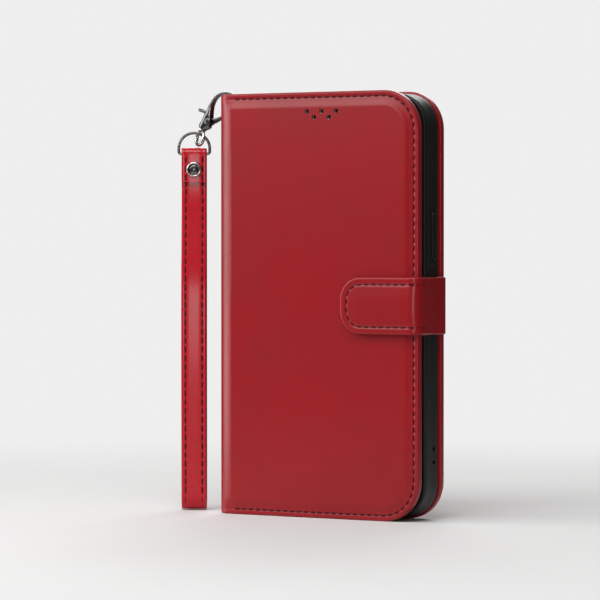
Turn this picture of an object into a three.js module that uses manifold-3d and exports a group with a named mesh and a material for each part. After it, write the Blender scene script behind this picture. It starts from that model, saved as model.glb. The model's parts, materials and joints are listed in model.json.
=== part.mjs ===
// Phone wallet case: two stiffened leather covers on a folding spine, a soft shell for the phone,
// card pockets, a magnetic closing tab, and a wrist strap hung from the spine on a swivel clasp.
// Millimetres. The case stands closed on its lower edges at z = 0. X runs from the spine to the
// fore edge, -Y is the front, and y = 0 is the middle of the back cover's thickness.
import * as THREE from 'three';
import { mergeVertices } from 'three/addons/utils/BufferGeometryUtils.js';
import Module from 'manifold-3d';

const wasm = await Module();
wasm.setup();

// ---- driving dimensions -------------------------------------------------------------------
// the phone and the cards that the case is made for
const PHONE_WIDTH = 80;
const PHONE_HEIGHT = 162;
const PHONE_THICKNESS = 8.1;
const CARD_WIDTH = 54;
const CARD_LENGTH = 85.6;

// clearances
const PHONE_FIT = 0.4;
const LAYER_GAP = 0.1;
const FIT = 0.3;

// soft shell
const SHELL_WALL = 1.6;
const SHELL_FLOOR = 1.4;
const LIP_HEIGHT = 0.9;
const LIP_OVERHANG = 1.0;
const SHELL_CORNER = 12.5;

// sheets that the covers are built up from
const SKIN = 0.8;
const FOAM = 0.8;
const FRONT_BOARD = 1.3;
const BACK_BOARD = 1.7;
const LINING = 0.6;
const SPINE_LINING = 0.5;
const SKIN_ROUNDING = 0.7;

// covers and spine
const COVER_MARGIN = 1.2;
const FORE_MARGIN = 0.6;
const SPINE_SPACE = 5.3;
const FRONT_CORNER = 15.7;
const BACK_CORNER = 15;
const FOLD_WIDTH = 2.1;
const SPINE_FOLD = 0.4;
const LINING_SETBACK = 1.0;
const FOAM_SETBACK = 6.5;

// seams
const SEAM_INSET = 2.2;
const SEAM_GROOVE_WIDTH = 1.0;
const SEAM_GROOVE_DEPTH = 0.45;
const THREAD_WIDTH = 0.4;
const THREAD_HEIGHT = 0.3;

// card and cash pockets
const POCKET_SHEET = 0.6;
const POCKET_SEAM = 3;
const CARD_STEP = 10;
const CARD_POCKET_COUNT = 3;
const CASH_HEIGHT = 144;
const POCKET_CLEARANCE = 0.4;

// openings
const EARPIECE_HOLE = 2;
const EARPIECE_PITCH = 6.7;
const EARPIECE_ROW_DROP = 2.3;
const EARPIECE_BELOW_TOP = 7.7;
const EARPIECE_X = 2;
const WINDOW_WIDTH = 40;
const WINDOW_HEIGHT = 42;
const WINDOW_CORNER = 9;
const WINDOW_MARGIN = 5;
const PORT_WIDTH = 13;
const PORT_HEIGHT = 5;
const SPEAKER_WIDTH = 14;
const SPEAKER_HEIGHT = 2;
const SPEAKER_OFFSET = 21;
const LANYARD_HOLE = 2;
const LANYARD_PITCH = 5.2;
const LANYARD_LOW = 22.8;
const LANYARD_DEPTH = 3.5;

// side buttons
const BUTTON_WIDTH = 3.4;
const BUTTON_PROUD = 0.45;
const BUTTON_DEPTH = 3.5;
const POWER_LENGTH = 19.5;
const POWER_CENTRE = 111;
const VOLUME_LENGTH = 10;
const VOLUME_CENTRES = { up: 132, down: 120 };

// magnets and closing tab
const MAGNET_RADIUS = 6;
const MAGNET_THICKNESS = 0.9;
const TAB_HEIGHT = 22.4;
const TAB_CENTRE = 84;
const TAB_END_RADIUS = 9;
const TAB_LENGTH = 33.6;
const TAB_SKIN = 0.8;
const TAB_STIFFENER = 0.5;
const TAB_WEB_SKIN = 0.45;
const TAB_ANCHOR_LENGTH = 14;
const TAB_CLEARANCE = 0.3;
const TAB_WEB_GAP = 0.25;
const TAB_MAGNET_SETBACK = 12;

// strap loop on the spine
const LOOP_CORD = 1.6;
const LOOP_REACH = 5.5;
const LOOP_BELOW_TOP = 1.0;
const LOOP_RISE = 1.6;
const LOOP_SPREAD = 5.2;
const LOOP_Y = -6.7;
const LOOP_SHOULDER = 0.45;
const LOOP_SAG = 0.25;

// clasp
const CLASP_THICKNESS = 3.8;
const HOOK_THICKNESS = 2.4;
const SLOT_WIDTH = 2.7;
const LEVER_THICKNESS = 1.0;
const LEVER_SHIFT = 0.25;
const PIN_RADIUS = 0.5;
const PIN_OVERHANG = 0.25;
const HUB_RADIUS = 1.3;
const KNOB_RADIUS = 0.7;
const KNOB_LENGTH = 3.6;
const KNOB_TILT = -72;
const KNOB_CENTRE = [-10.9, -4.85];
const SPRING_RADIUS = 1.0;
const SPRING_WIRE = 0.13;
const SPRING_TURNS = 1.5;
const SPRING_PITCH = 0.34;
const CLASP_LEAN = 20;

// swivel eye and D ring
const EYE_RADIUS = 2.9;
const EYE_WIRE = 0.55;
const EYE_COLLAR = 1.5;
const EYE_TURN = -30;
const RIVET_SHANK = 0.6;
const RIVET_HEAD = 1.1;
const RIVET_HEAD_THICKNESS = 0.6;
const RING_RADIUS = 6.3;
const RING_WIRE = 0.575;
const RING_CORNER = 1.0;
const RING_DROP = 2.15;
const RING_OFFSET = 2.8;
const RING_BELOW_BASE = 2.4;

// wrist strap, which hangs turned a little from the cover's plane
const STRAP_TURN = 31.3;
const STRAP_WIDTH = 10.2;
const STRAP_THICKNESS = 1.5;
const STRAP_LAYER_GAP = 0.2;
const STRAP_OPENING = 8;
const STRAP_FLOOR_GAP = 0.3;
const STRAP_FOLD_LENGTH = 11.5;
const STRAP_CLOSE_LENGTH = 45;
const STRAP_EASE = 16;
const STRAP_END_GAP = 3;
const RIVET_BELOW_BAR = 6.4;
const CAP_RADIUS = 3.1;
const CAP_HEIGHT = 1.5;
const POST_RADIUS = 1.2;
const POST_FLANGE = 2.9;
const POST_FLANGE_THICKNESS = 0.7;
const POST_SOCKET = 0.8;

// ---- sizes that follow ----------------------------------------------------------------------
const bayWidth = PHONE_WIDTH + PHONE_FIT;
const bayHeight = PHONE_HEIGHT + PHONE_FIT;
const bayDepth = PHONE_THICKNESS + PHONE_FIT;
const shellWidth = bayWidth + 2 * SHELL_WALL;
const shellHeight = bayHeight + 2 * SHELL_WALL;
const shellDepth = SHELL_FLOOR + bayDepth + LIP_HEIGHT;
const spineThickness = SKIN + LAYER_GAP + SPINE_LINING;
const caseWidth = spineThickness + SPINE_SPACE + shellWidth + FORE_MARGIN;
const caseHeight = shellHeight + 2 * COVER_MARGIN;
const backThickness = LINING + BACK_BOARD + FOAM + SKIN + 3 * LAYER_GAP;
const frontThickness = LINING + FRONT_BOARD + FOAM + SKIN + 3 * LAYER_GAP;
const pocketDepth = (CARD_POCKET_COUNT + 1) * (POCKET_SHEET + LAYER_GAP);

const foreX = caseWidth / 2;
const spineX = -caseWidth / 2;
const hingeX = spineX + spineThickness;
const coverX = hingeX + FOLD_WIDTH;
const backInnerY = -backThickness / 2;
const backOuterY = backThickness / 2;
const shellBackY = backInnerY - LAYER_GAP;
const shellFrontY = shellBackY - shellDepth;
const pocketBackY = shellFrontY - POCKET_CLEARANCE;
const frontInnerY = pocketBackY - pocketDepth;
const frontOuterY = frontInnerY - frontThickness;
const shellRightX = foreX - FORE_MARGIN;
const shellLeftX = shellRightX - shellWidth;
const shellCentreX = (shellLeftX + shellRightX) / 2;
const tabThickness = 2 * TAB_SKIN + MAGNET_THICKNESS;
const tabBackY = frontOuterY - TAB_CLEARANCE;
const tabFrontY = tabBackY - tabThickness;
const webThickness = 2 * TAB_WEB_SKIN + LAYER_GAP;
const webInnerX = foreX + TAB_WEB_GAP;
const webOuterX = webInnerX + webThickness;

const strandX = spineX - LOOP_REACH;
const strandZ = caseHeight - LOOP_BELOW_TOP;
const lean = THREE.MathUtils.degToRad(CLASP_LEAN);
const claspBase = new THREE.Vector2(-11.1, -12.2);
const claspPivot = new THREE.Vector2(-7.6, -9.3);
const linkX = strandX + claspBase.x - RING_BELOW_BASE * Math.sin(lean);
const linkZ = strandZ + claspBase.y - RING_BELOW_BASE * Math.cos(lean);
const ringCentreZ = linkZ - Math.sqrt(RING_RADIUS ** 2 - RING_OFFSET ** 2);
const barZ = ringCentreZ - RING_DROP;
const foldRadius = (STRAP_THICKNESS + STRAP_LAYER_GAP * 2 + STRAP_THICKNESS) / 2;
const strapRivetZ = barZ - RIVET_BELOW_BAR;
const strapLayersY = foldRadius + STRAP_THICKNESS / 2;

// ---- materials --------------------------------------------------------------------------------
const leatherRed = new THREE.MeshStandardMaterial({ color: 0x96232a, roughness: 0.42 });
const leatherTab = new THREE.MeshStandardMaterial({ color: 0x8a1a22, roughness: 0.42 });
const leatherStrap = new THREE.MeshStandardMaterial({ color: 0xb01a2e, roughness: 0.45 });
const liningRed = new THREE.MeshStandardMaterial({ color: 0x7c1a20, roughness: 0.75 });
const pocketRed = new THREE.MeshStandardMaterial({ color: 0x8c2026, roughness: 0.5 });
const greyboard = new THREE.MeshStandardMaterial({ color: 0x9a9183, roughness: 0.9 });
const foamWhite = new THREE.MeshStandardMaterial({ color: 0xd8d4c8, roughness: 0.95 });
const threadDark = new THREE.MeshStandardMaterial({ color: 0x4a0f14, roughness: 0.7 });
const shellBlack = new THREE.MeshStandardMaterial({ color: 0x1b1b1c, roughness: 0.5 });
const nickelDark = new THREE.MeshStandardMaterial({ color: 0x4b4846, roughness: 0.25, metalness: 1 });
const magnetGrey = new THREE.MeshStandardMaterial({ color: 0x8e9092, roughness: 0.35, metalness: 1 });

// ---- solids -----------------------------------------------------------------------------------
function solidOf(geometry) {
  const bare = geometry.index ? geometry.toNonIndexed() : geometry.clone();
  bare.deleteAttribute('normal');
  bare.deleteAttribute('uv');
  const merged = mergeVertices(bare, 1e-4);
  const mesh = new wasm.Mesh({
    numProp: 3,
    vertProperties: new Float32Array(merged.attributes.position.array),
    triVerts: new Uint32Array(merged.index.array),
  });
  return new wasm.Manifold(mesh);
}

function geometryOf(solid) {
  const mesh = solid.getMesh();
  const geometry = new THREE.BufferGeometry();
  geometry.setAttribute('position', new THREE.BufferAttribute(mesh.vertProperties, 3));
  geometry.setIndex(new THREE.BufferAttribute(mesh.triVerts, 1));
  geometry.computeVertexNormals();
  return geometry;
}

function cut(geometry, ...tools) {
  const left = tools.reduce((solid, tool) => solid.subtract(solidOf(tool)), solidOf(geometry));
  return geometryOf(left);
}

function join(geometry, ...others) {
  const whole = others.reduce((solid, other) => solid.add(solidOf(other)), solidOf(geometry));
  return geometryOf(whole);
}

// a block between two corners
function block(x0, y0, z0, x1, y1, z1) {
  const geometry = new THREE.BoxGeometry(Math.abs(x1 - x0), Math.abs(y1 - y0), Math.abs(z1 - z0));
  return geometry.translate((x0 + x1) / 2, (y0 + y1) / 2, (z0 + z1) / 2);
}

// a round bar with its axis along X or Y
function barAlongY(radius, x, z, y0, y1, sides = 20) {
  const geometry = new THREE.CylinderGeometry(radius, radius, Math.abs(y1 - y0), sides);
  return geometry.translate(x, (y0 + y1) / 2, z);
}

function barAlongX(radius, y, z, x0, x1, sides = 16) {
  const geometry = new THREE.CylinderGeometry(radius, radius, Math.abs(x1 - x0), sides);
  return geometry.rotateZ(Math.PI / 2).translate((x0 + x1) / 2, y, z);
}

// an upright slab: a shape drawn in X and Z, from its back face to its front face
function slab(shape, backY, frontY, curveSegments = 8) {
  const depth = backY - frontY;
  const geometry = new THREE.ExtrudeGeometry(shape, { depth, bevelEnabled: false, curveSegments });
  return geometry.rotateX(Math.PI / 2).translate(0, backY, 0);
}

// a slab whose front rim is rounded; a back rim is rounded by turning the finished slab over
function roundedSlab(shape, backY, frontY, rounding) {
  const depth = backY - frontY - rounding;
  const geometry = new THREE.ExtrudeGeometry(shape, {
    depth,
    bevelEnabled: true,
    bevelThickness: rounding,
    bevelSize: rounding,
    bevelOffset: -rounding,
    bevelSegments: 3,
    curveSegments: 8,
  });
  const upright = geometry.rotateX(Math.PI / 2).translate(0, backY, 0);
  const far = caseWidth * 2;
  return cut(upright, block(-far, backY, -far, far, backY + 2 * rounding, 2 * far));
}

// a rectangle with its own corner radius on the spine side and on the fore side
function panelShape(x0, z0, x1, z1, spineRadius, foreRadius) {
  const quarter = Math.PI / 2;
  const shape = new THREE.Shape();
  shape.moveTo(x0 + spineRadius, z0);
  shape.lineTo(x1 - foreRadius, z0);
  shape.absarc(x1 - foreRadius, z0 + foreRadius, foreRadius, -quarter, 0, false);
  shape.lineTo(x1, z1 - foreRadius);
  shape.absarc(x1 - foreRadius, z1 - foreRadius, foreRadius, 0, quarter, false);
  shape.lineTo(x0 + spineRadius, z1);
  if (spineRadius > 0) {
    shape.absarc(x0 + spineRadius, z1 - spineRadius, spineRadius, quarter, 2 * quarter, false);
    shape.lineTo(x0, z0 + spineRadius);
    shape.absarc(x0 + spineRadius, z0 + spineRadius, spineRadius, 2 * quarter, 3 * quarter, false);
  } else {
    shape.lineTo(x0, z0);
  }
  return shape;
}

// a cover's outline drawn in by an inset on its three free edges
function coverShape(inset, foreRadius, x0 = coverX) {
  const radius = foreRadius - inset;
  return panelShape(x0, inset, foreX - inset, caseHeight - inset, 0, radius);
}

// the band that a seam covers: as wide as given, at the seam's inset from the cover's free edges
function seamBand(width, foreRadius, backY, frontY) {
  const outer = coverShape(SEAM_INSET - width / 2, foreRadius);
  const inner = coverShape(SEAM_INSET + width / 2, foreRadius, coverX - FOLD_WIDTH);
  const reach = backY + 1;
  return cut(slab(outer, backY, frontY), slab(inner, reach, frontY - 1));
}

// ---- earpiece holes and camera window -----------------------------------------------------------
function earpieceHoles(backY, frontY) {
  const z = caseHeight - EARPIECE_BELOW_TOP;
  const holes = [];
  for (const step of [-1, 0, 1]) {
    const x = EARPIECE_X + step * EARPIECE_PITCH;
    holes.push(barAlongY(EARPIECE_HOLE / 2, x, z, backY, frontY, 12));
  }
  for (const step of [-0.5, 0.5]) {
    const x = EARPIECE_X + step * EARPIECE_PITCH;
    holes.push(barAlongY(EARPIECE_HOLE / 2, x, z - EARPIECE_ROW_DROP, backY, frontY, 12));
  }
  return holes;
}

function windowShape(grow) {
  const right = shellRightX - SHELL_WALL - WINDOW_MARGIN;
  const top = caseHeight - COVER_MARGIN - SHELL_WALL - WINDOW_MARGIN;
  const left = right - WINDOW_WIDTH;
  const low = top - WINDOW_HEIGHT;
  const radius = WINDOW_CORNER + grow;
  return panelShape(left - grow, low - grow, right + grow, top + grow, radius, radius);
}

// ---- back cover ---------------------------------------------------------------------------------
const backLiningY = backInnerY + LINING;
const backBoardY = backLiningY + LAYER_GAP;
const backFoamY = backBoardY + BACK_BOARD + LAYER_GAP;
const backSkinY = backOuterY - SKIN;
const anchorFrontY = backBoardY + LAYER_GAP;
const anchorBackY = anchorFrontY + webThickness;
const anchorX = foreX - FIT / 3;
const tabLowZ = TAB_CENTRE - TAB_HEIGHT / 2;
const tabHighZ = TAB_CENTRE + TAB_HEIGHT / 2;

function anchorSlot() {
  const x = anchorX - TAB_ANCHOR_LENGTH - FIT;
  const low = tabLowZ - FIT;
  return block(x, backLiningY, low, foreX + 1, anchorBackY + LAYER_GAP, tabHighZ + FIT);
}

// outer skin with its edges turned in round the board, and a turned-in collar round the window
function backLeather() {
  const outline = coverShape(0, BACK_CORNER);
  const facingFront = roundedSlab(outline, -backBoardY, -backOuterY, SKIN_ROUNDING);
  const facingBack = facingFront.scale(1, -1, 1);
  facingBack.index.array.reverse();
  const inner = coverShape(SKIN, BACK_CORNER, coverX - FOLD_WIDTH);
  const collar = slab(windowShape(SKIN), backOuterY, backInnerY - 1);
  const hollow = cut(slab(inner, backSkinY, backBoardY - 1), collar);
  const window = slab(windowShape(0), backOuterY + 1, backInnerY - 1);
  const grooveY = backOuterY - SEAM_GROOVE_DEPTH;
  const groove = seamBand(SEAM_GROOVE_WIDTH, BACK_CORNER, backOuterY + 1, grooveY);
  return cut(facingBack, hollow, window, groove, anchorSlot());
}

function backCore(backY, frontY, x0 = coverX) {
  const outline = coverShape(SKIN + FIT, BACK_CORNER, x0);
  return cut(slab(outline, backY, frontY), slab(windowShape(SKIN + FIT), backY + 1, frontY - 1));
}

function backFoam() {
  return backCore(backFoamY + FOAM, backFoamY, coverX + FOAM_SETBACK);
}

function backBoard() {
  return cut(backCore(backBoardY + BACK_BOARD, backBoardY), anchorSlot());
}

function backLining() {
  const lining = slab(coverShape(LINING_SETBACK, BACK_CORNER), backLiningY, backInnerY);
  return cut(lining, slab(windowShape(0), backOuterY, backInnerY - 1));
}

function backThread() {
  const y = backOuterY - SEAM_GROOVE_DEPTH + LAYER_GAP;
  return seamBand(THREAD_WIDTH, BACK_CORNER, y + THREAD_HEIGHT, y);
}

// the end of the tab that is glued and sewn in between the board and the lining
function tabAnchor() {
  return block(anchorX - TAB_ANCHOR_LENGTH, anchorFrontY, tabLowZ, anchorX, anchorBackY, tabHighZ);
}

// ---- soft shell ---------------------------------------------------------------------------------
const shellLowZ = COVER_MARGIN;
const shellHighZ = caseHeight - COVER_MARGIN;
const buttonY = shellBackY - BUTTON_DEPTH;

function shellShape(inset) {
  const radius = SHELL_CORNER - inset;
  return panelShape(
    shellLeftX + inset,
    shellLowZ + inset,
    shellRightX - inset,
    shellHighZ - inset,
    radius,
    radius,
  );
}

function shellCuts() {
  const bayBackY = shellBackY - SHELL_FLOOR;
  const bayFrontY = bayBackY - bayDepth;
  const middleY = (bayBackY + bayFrontY) / 2;
  const under = shellLowZ - 1;
  const over = shellLowZ + SHELL_WALL + 0.5;
  const half = PORT_WIDTH / 2;
  const port = block(
    shellCentreX - half,
    middleY - PORT_HEIGHT / 2,
    under,
    shellCentreX + half,
    middleY + PORT_HEIGHT / 2,
    over,
  );
  const speakers = [-1, 1].map((side) => {
    const x = shellCentreX + side * SPEAKER_OFFSET;
    const y = SPEAKER_HEIGHT / 2;
    return block(x - SPEAKER_WIDTH / 2, middleY - y, under, x + SPEAKER_WIDTH / 2, middleY + y, over);
  });
  const lanyards = [0, 1].map((step) => {
    const z = LANYARD_LOW + step * LANYARD_PITCH;
    const inner = shellRightX - SHELL_WALL - 1;
    return barAlongX(LANYARD_HOLE / 2, shellBackY - LANYARD_DEPTH, z, inner, shellRightX + 1, 12);
  });
  return [port, ...speakers, ...lanyards];
}

function buttonSlot(side, length, z) {
  const wallX = side > 0 ? shellRightX : shellLeftX;
  const y = BUTTON_WIDTH / 2 + FIT;
  const half = length / 2 + FIT;
  const inner = wallX - side * (SHELL_WALL + 1);
  return block(inner, buttonY - y, z - half, wallX + side, buttonY + y, z + half);
}

function phoneShell() {
  const bayBackY = shellBackY - SHELL_FLOOR;
  const bayFrontY = bayBackY - bayDepth;
  const body = slab(shellShape(0), shellBackY, shellFrontY);
  const bay = slab(shellShape(SHELL_WALL), bayBackY, bayFrontY);
  const mouth = slab(shellShape(SHELL_WALL + LIP_OVERHANG), bayFrontY + 1, shellFrontY - 1);
  const window = slab(windowShape(0), shellBackY + 1, bayBackY - 1);
  const slots = [
    buttonSlot(1, POWER_LENGTH, POWER_CENTRE),
    buttonSlot(-1, VOLUME_LENGTH, VOLUME_CENTRES.up),
    buttonSlot(-1, VOLUME_LENGTH, VOLUME_CENTRES.down),
  ];
  return cut(body, bay, mouth, window, ...shellCuts(), ...slots);
}

// a button cap stands a little proud of the shell's wall, and its ends are round
function buttonCap(side, length, z) {
  const wallX = side > 0 ? shellRightX : shellLeftX;
  const depth = SHELL_WALL + BUTTON_PROUD - FIT;
  const radius = BUTTON_WIDTH / 2;
  const reach = length / 2 - radius;
  const shape = new THREE.Shape();
  shape.absarc(0, reach, radius, 0, Math.PI, false);
  shape.absarc(0, -reach, radius, Math.PI, 2 * Math.PI, false);
  const geometry = new THREE.ExtrudeGeometry(shape, { depth, bevelEnabled: false, curveSegments: 6 });
  const upright = geometry.rotateX(Math.PI / 2).rotateZ(Math.PI / 2);
  const outerX = wallX + side * BUTTON_PROUD;
  return upright.translate(side > 0 ? outerX - depth : outerX, buttonY, z);
}

// ---- front cover ----------------------------------------------------------------------------------
const frontBoardY = frontInnerY - LINING - LAYER_GAP;
const frontFoamY = frontBoardY - FRONT_BOARD - LAYER_GAP;
const frontSkinY = frontOuterY + SKIN;
const magnetX = foreX - TAB_LENGTH + TAB_MAGNET_SETBACK;

function frontLeather() {
  const outline = coverShape(0, FRONT_CORNER);
  const outer = roundedSlab(outline, frontBoardY, frontOuterY, SKIN_ROUNDING);
  const inner = coverShape(SKIN, FRONT_CORNER, coverX - FOLD_WIDTH);
  const hollow = slab(inner, frontBoardY + 1, frontSkinY);
  const grooveY = frontOuterY + SEAM_GROOVE_DEPTH;
  const groove = seamBand(SEAM_GROOVE_WIDTH, FRONT_CORNER, grooveY, frontOuterY - 1);
  return cut(outer, hollow, groove, ...earpieceHoles(frontInnerY, frontOuterY - 1));
}

function frontCore(backY, frontY, x0 = coverX) {
  const core = slab(coverShape(SKIN + FIT, FRONT_CORNER, x0), backY, frontY);
  return cut(core, ...earpieceHoles(backY + 1, frontY - 1));
}

function frontFoam() {
  return frontCore(frontFoamY, frontFoamY - FOAM, coverX + FOAM_SETBACK);
}

function frontBoard() {
  const board = frontCore(frontBoardY, frontBoardY - FRONT_BOARD);
  const seat = barAlongY(MAGNET_RADIUS + FIT, magnetX, TAB_CENTRE, frontBoardY + 1, frontFoamY, 32);
  return cut(board, seat);
}

function frontMagnet() {
  const y = frontBoardY - (FRONT_BOARD - MAGNET_THICKNESS) / 2;
  return barAlongY(MAGNET_RADIUS, magnetX, TAB_CENTRE, y, y - MAGNET_THICKNESS, 32);
}

function frontLining() {
  const lining = slab(coverShape(LINING_SETBACK, FRONT_CORNER), frontInnerY, frontInnerY - LINING);
  return cut(lining, ...earpieceHoles(frontInnerY + 1, frontBoardY));
}

function frontThread() {
  const y = frontOuterY + SEAM_GROOVE_DEPTH - LAYER_GAP;
  return seamBand(THREAD_WIDTH, FRONT_CORNER, y, y - THREAD_HEIGHT);
}

// the pocket sheets lie on the lining, sewn along three edges, each mouth facing the spine
function pocketSheet(level, x0, lowZ, highZ) {
  const frontY = frontInnerY + LAYER_GAP + level * (POCKET_SHEET + LAYER_GAP);
  const shape = panelShape(x0, lowZ, foreX - POCKET_SEAM, highZ, 1, 2);
  return slab(shape, frontY + POCKET_SHEET, frontY, 3);
}

function cashPocket() {
  const middle = caseHeight / 2 - (caseHeight - CASH_HEIGHT) / 4;
  return pocketSheet(0, coverX + POCKET_SEAM, middle - CASH_HEIGHT / 2, middle + CASH_HEIGHT / 2);
}

function cardPocket(number) {
  const height = CARD_LENGTH + 2 * POCKET_SEAM;
  const deepest = foreX - 2 * POCKET_SEAM - CARD_WIDTH;
  const x0 = deepest + number * CARD_STEP;
  const low = caseHeight / 2 - height / 2;
  return pocketSheet(number, x0, low, low + height);
}

// ---- spine ----------------------------------------------------------------------------------------
const spineBackY = backInnerY - SPINE_FOLD;
const spineFrontY = frontInnerY + SPINE_FOLD;

function spineLeather() {
  return block(spineX, spineBackY, 0, spineX + SKIN, spineFrontY, caseHeight);
}

function spineLining() {
  const x = spineX + SKIN + LAYER_GAP;
  const z = LINING_SETBACK;
  return block(x, spineBackY, z, x + SPINE_LINING, spineFrontY, caseHeight - z);
}

// a short loop of round cord that rises from the spine's outer face; the clasp hooks on its strand
function strapLoop() {
  const half = LOOP_SPREAD / 2;
  const faceX = spineX - FIT;
  const lowZ = strandZ - LOOP_RISE;
  const bendX = strandX + LOOP_REACH * LOOP_SHOULDER;
  const bendZ = strandZ - LOOP_RISE * LOOP_SAG;
  const route = new THREE.CatmullRomCurve3([
    new THREE.Vector3(faceX, LOOP_Y - half, lowZ),
    new THREE.Vector3(bendX, LOOP_Y - half, bendZ),
    new THREE.Vector3(strandX, LOOP_Y - half * LOOP_SHOULDER, strandZ),
    new THREE.Vector3(strandX, LOOP_Y + half * LOOP_SHOULDER, strandZ),
    new THREE.Vector3(bendX, LOOP_Y + half, bendZ),
    new THREE.Vector3(faceX, LOOP_Y + half, lowZ),
  ], false, 'centripetal');
  const section = new THREE.Shape().absarc(0, 0, LOOP_CORD / 2, 0, 2 * Math.PI, false);
  return new THREE.ExtrudeGeometry(section, { steps: 30, extrudePath: route, curveSegments: 5 });
}

// ---- closing tab ----------------------------------------------------------------------------------
const flapEndX = foreX - TAB_LENGTH;
const flapRootX = foreX - FIT;

function flapShape(inset) {
  const shape = new THREE.Shape();
  const radius = TAB_END_RADIUS - inset;
  const low = tabLowZ + inset;
  const high = tabHighZ - inset;
  const end = flapEndX + inset;
  shape.moveTo(flapRootX, low);
  shape.lineTo(flapRootX, high);
  shape.lineTo(end + radius, high);
  shape.absarc(end + radius, high - radius, radius, Math.PI / 2, Math.PI, false);
  shape.absarc(end + radius, low + radius, radius, Math.PI, 1.5 * Math.PI, false);
  shape.closePath();
  return shape;
}

function webSheet(innerX, outerX) {
  return block(innerX, anchorFrontY + FIT - LAYER_GAP, tabLowZ, outerX, tabBackY + FIT, tabHighZ);
}

function tabWebLeather() {
  return webSheet(webOuterX - TAB_WEB_SKIN, webOuterX);
}

function tabWebLining() {
  return webSheet(webInnerX, webInnerX + TAB_WEB_SKIN);
}

// outer skin of the flap, its edge turned in round the stiffener and the magnet
function tabFlapLeather() {
  const outer = roundedSlab(flapShape(0), tabBackY - TAB_SKIN - LAYER_GAP, tabFrontY, SKIN_ROUNDING);
  const hollow = slab(flapShape(TAB_SKIN), tabBackY, tabFrontY + TAB_SKIN);
  return cut(outer, hollow);
}

function tabFlapLining() {
  return slab(flapShape(0), tabBackY, tabBackY - TAB_SKIN);
}

function tabStiffener() {
  const y = tabBackY - TAB_SKIN - LAYER_GAP;
  const sheet = slab(flapShape(TAB_SKIN + FIT), y, y - TAB_STIFFENER);
  return cut(sheet, barAlongY(MAGNET_RADIUS + FIT, magnetX, TAB_CENTRE, y + 1, y - 2, 32));
}

function tabMagnet() {
  const y = tabBackY - TAB_SKIN - LAYER_GAP;
  return barAlongY(MAGNET_RADIUS, magnetX, TAB_CENTRE, y, y - (MAGNET_THICKNESS - 2 * LAYER_GAP), 32);
}

// ---- clasp, in its own frame: the loop's strand is the origin and the clasp lies in X and Z ---------
function smoothShape(...stretches) {
  const shape = new THREE.Shape();
  stretches.forEach((points, index) => {
    const [first, ...rest] = points.map(([x, z]) => new THREE.Vector2(x, z));
    if (index === 0) {
      shape.moveTo(first.x, first.y);
    } else {
      shape.lineTo(first.x, first.y);
    }
    shape.splineThru(rest);
  });
  shape.closePath();
  return shape;
}

// a point given along the clasp's leaning axis (up) and across it, from the middle of its base
function onClasp(across, up) {
  const x = claspBase.x + across * Math.cos(lean) + up * Math.sin(lean);
  const z = claspBase.y - across * Math.sin(lean) + up * Math.cos(lean);
  return [x, z];
}

function leanedBox(halfAcross, halfDepth, low, high) {
  const geometry = new THREE.BoxGeometry(2 * halfAcross, 2 * halfDepth, high - low);
  geometry.translate(0, 0, (low + high) / 2).rotateY(lean);
  return geometry.translate(claspBase.x, 0, claspBase.y);
}

function claspOutline() {
  const outer = [
    onClasp(-1.8, 0), [-11.6, -8.9], [-9.6, -5.7], [-7.7, -2.4], [-5.5, 0.5],
    [-2.7, 2.15], [0, 2.65], [2.3, 2.3], [4.1, 1.1], [4.95, -0.9], [4.9, -3.3],
  ];
  const inner = [
    [3.7, -3.5], [3.75, -1.2], [3.1, 0.4], [1.7, 1.35], [0, 1.65], [-2.1, 1.15],
    [-4.1, -0.5], [-5.7, -3.3], [-6.5, -5.9], [-6.1, -7.6],
  ];
  const shoulder = [[-5.4, -8.6], [-5.4, -9.9], [-6.4, -11.2], onClasp(1.8, 0)];
  return smoothShape(outer, inner, shoulder);
}

// the lever's slot, open to both sides, with room below it for the swivel rivet's head
function claspSlots() {
  const half = SLOT_WIDTH / 2;
  const fan = new THREE.Shape();
  fan.moveTo(-3, -7.4);
  fan.lineTo(-6.6, -7.2);
  fan.lineTo(-7.0, -3.7);
  fan.lineTo(-15, -2.2);
  fan.lineTo(-15, -8.4);
  fan.lineTo(-9.5, -10.0);
  fan.lineTo(-7.8, -11.3);
  fan.lineTo(-3, -12.4);
  fan.closePath();
  const rivetRoom = leanedBox(RIVET_HEAD + FIT, half, 1.0, 2.6);
  const pinHole = barAlongY(PIN_RADIUS + FIT, claspPivot.x, claspPivot.y, 3, -3, 16);
  return [slab(fan, half, -half), rivetRoom, pinHole];
}

// the hook is thinner than the part that carries the lever
function claspTrims() {
  const thin = HOOK_THICKNESS / 2;
  const full = CLASP_THICKNESS / 2 + 1;
  return [block(-4.6, thin, -7, 8, full, 5), block(-4.6, -full, -7, 8, -thin, 5)];
}

function claspBody() {
  const half = CLASP_THICKNESS / 2;
  const shankHole = new THREE.CylinderGeometry(RIVET_SHANK + FIT, RIVET_SHANK + FIT, 4, 16);
  shankHole.rotateX(Math.PI / 2).rotateY(lean).translate(claspBase.x, 0, claspBase.y);
  return cut(slab(claspOutline(), half, -half, 5), ...claspTrims(), ...claspSlots(), shankHole);
}

function claspPin() {
  const half = CLASP_THICKNESS / 2 + PIN_OVERHANG;
  return barAlongY(PIN_RADIUS, claspPivot.x, claspPivot.y, half, -half, 16);
}

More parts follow.
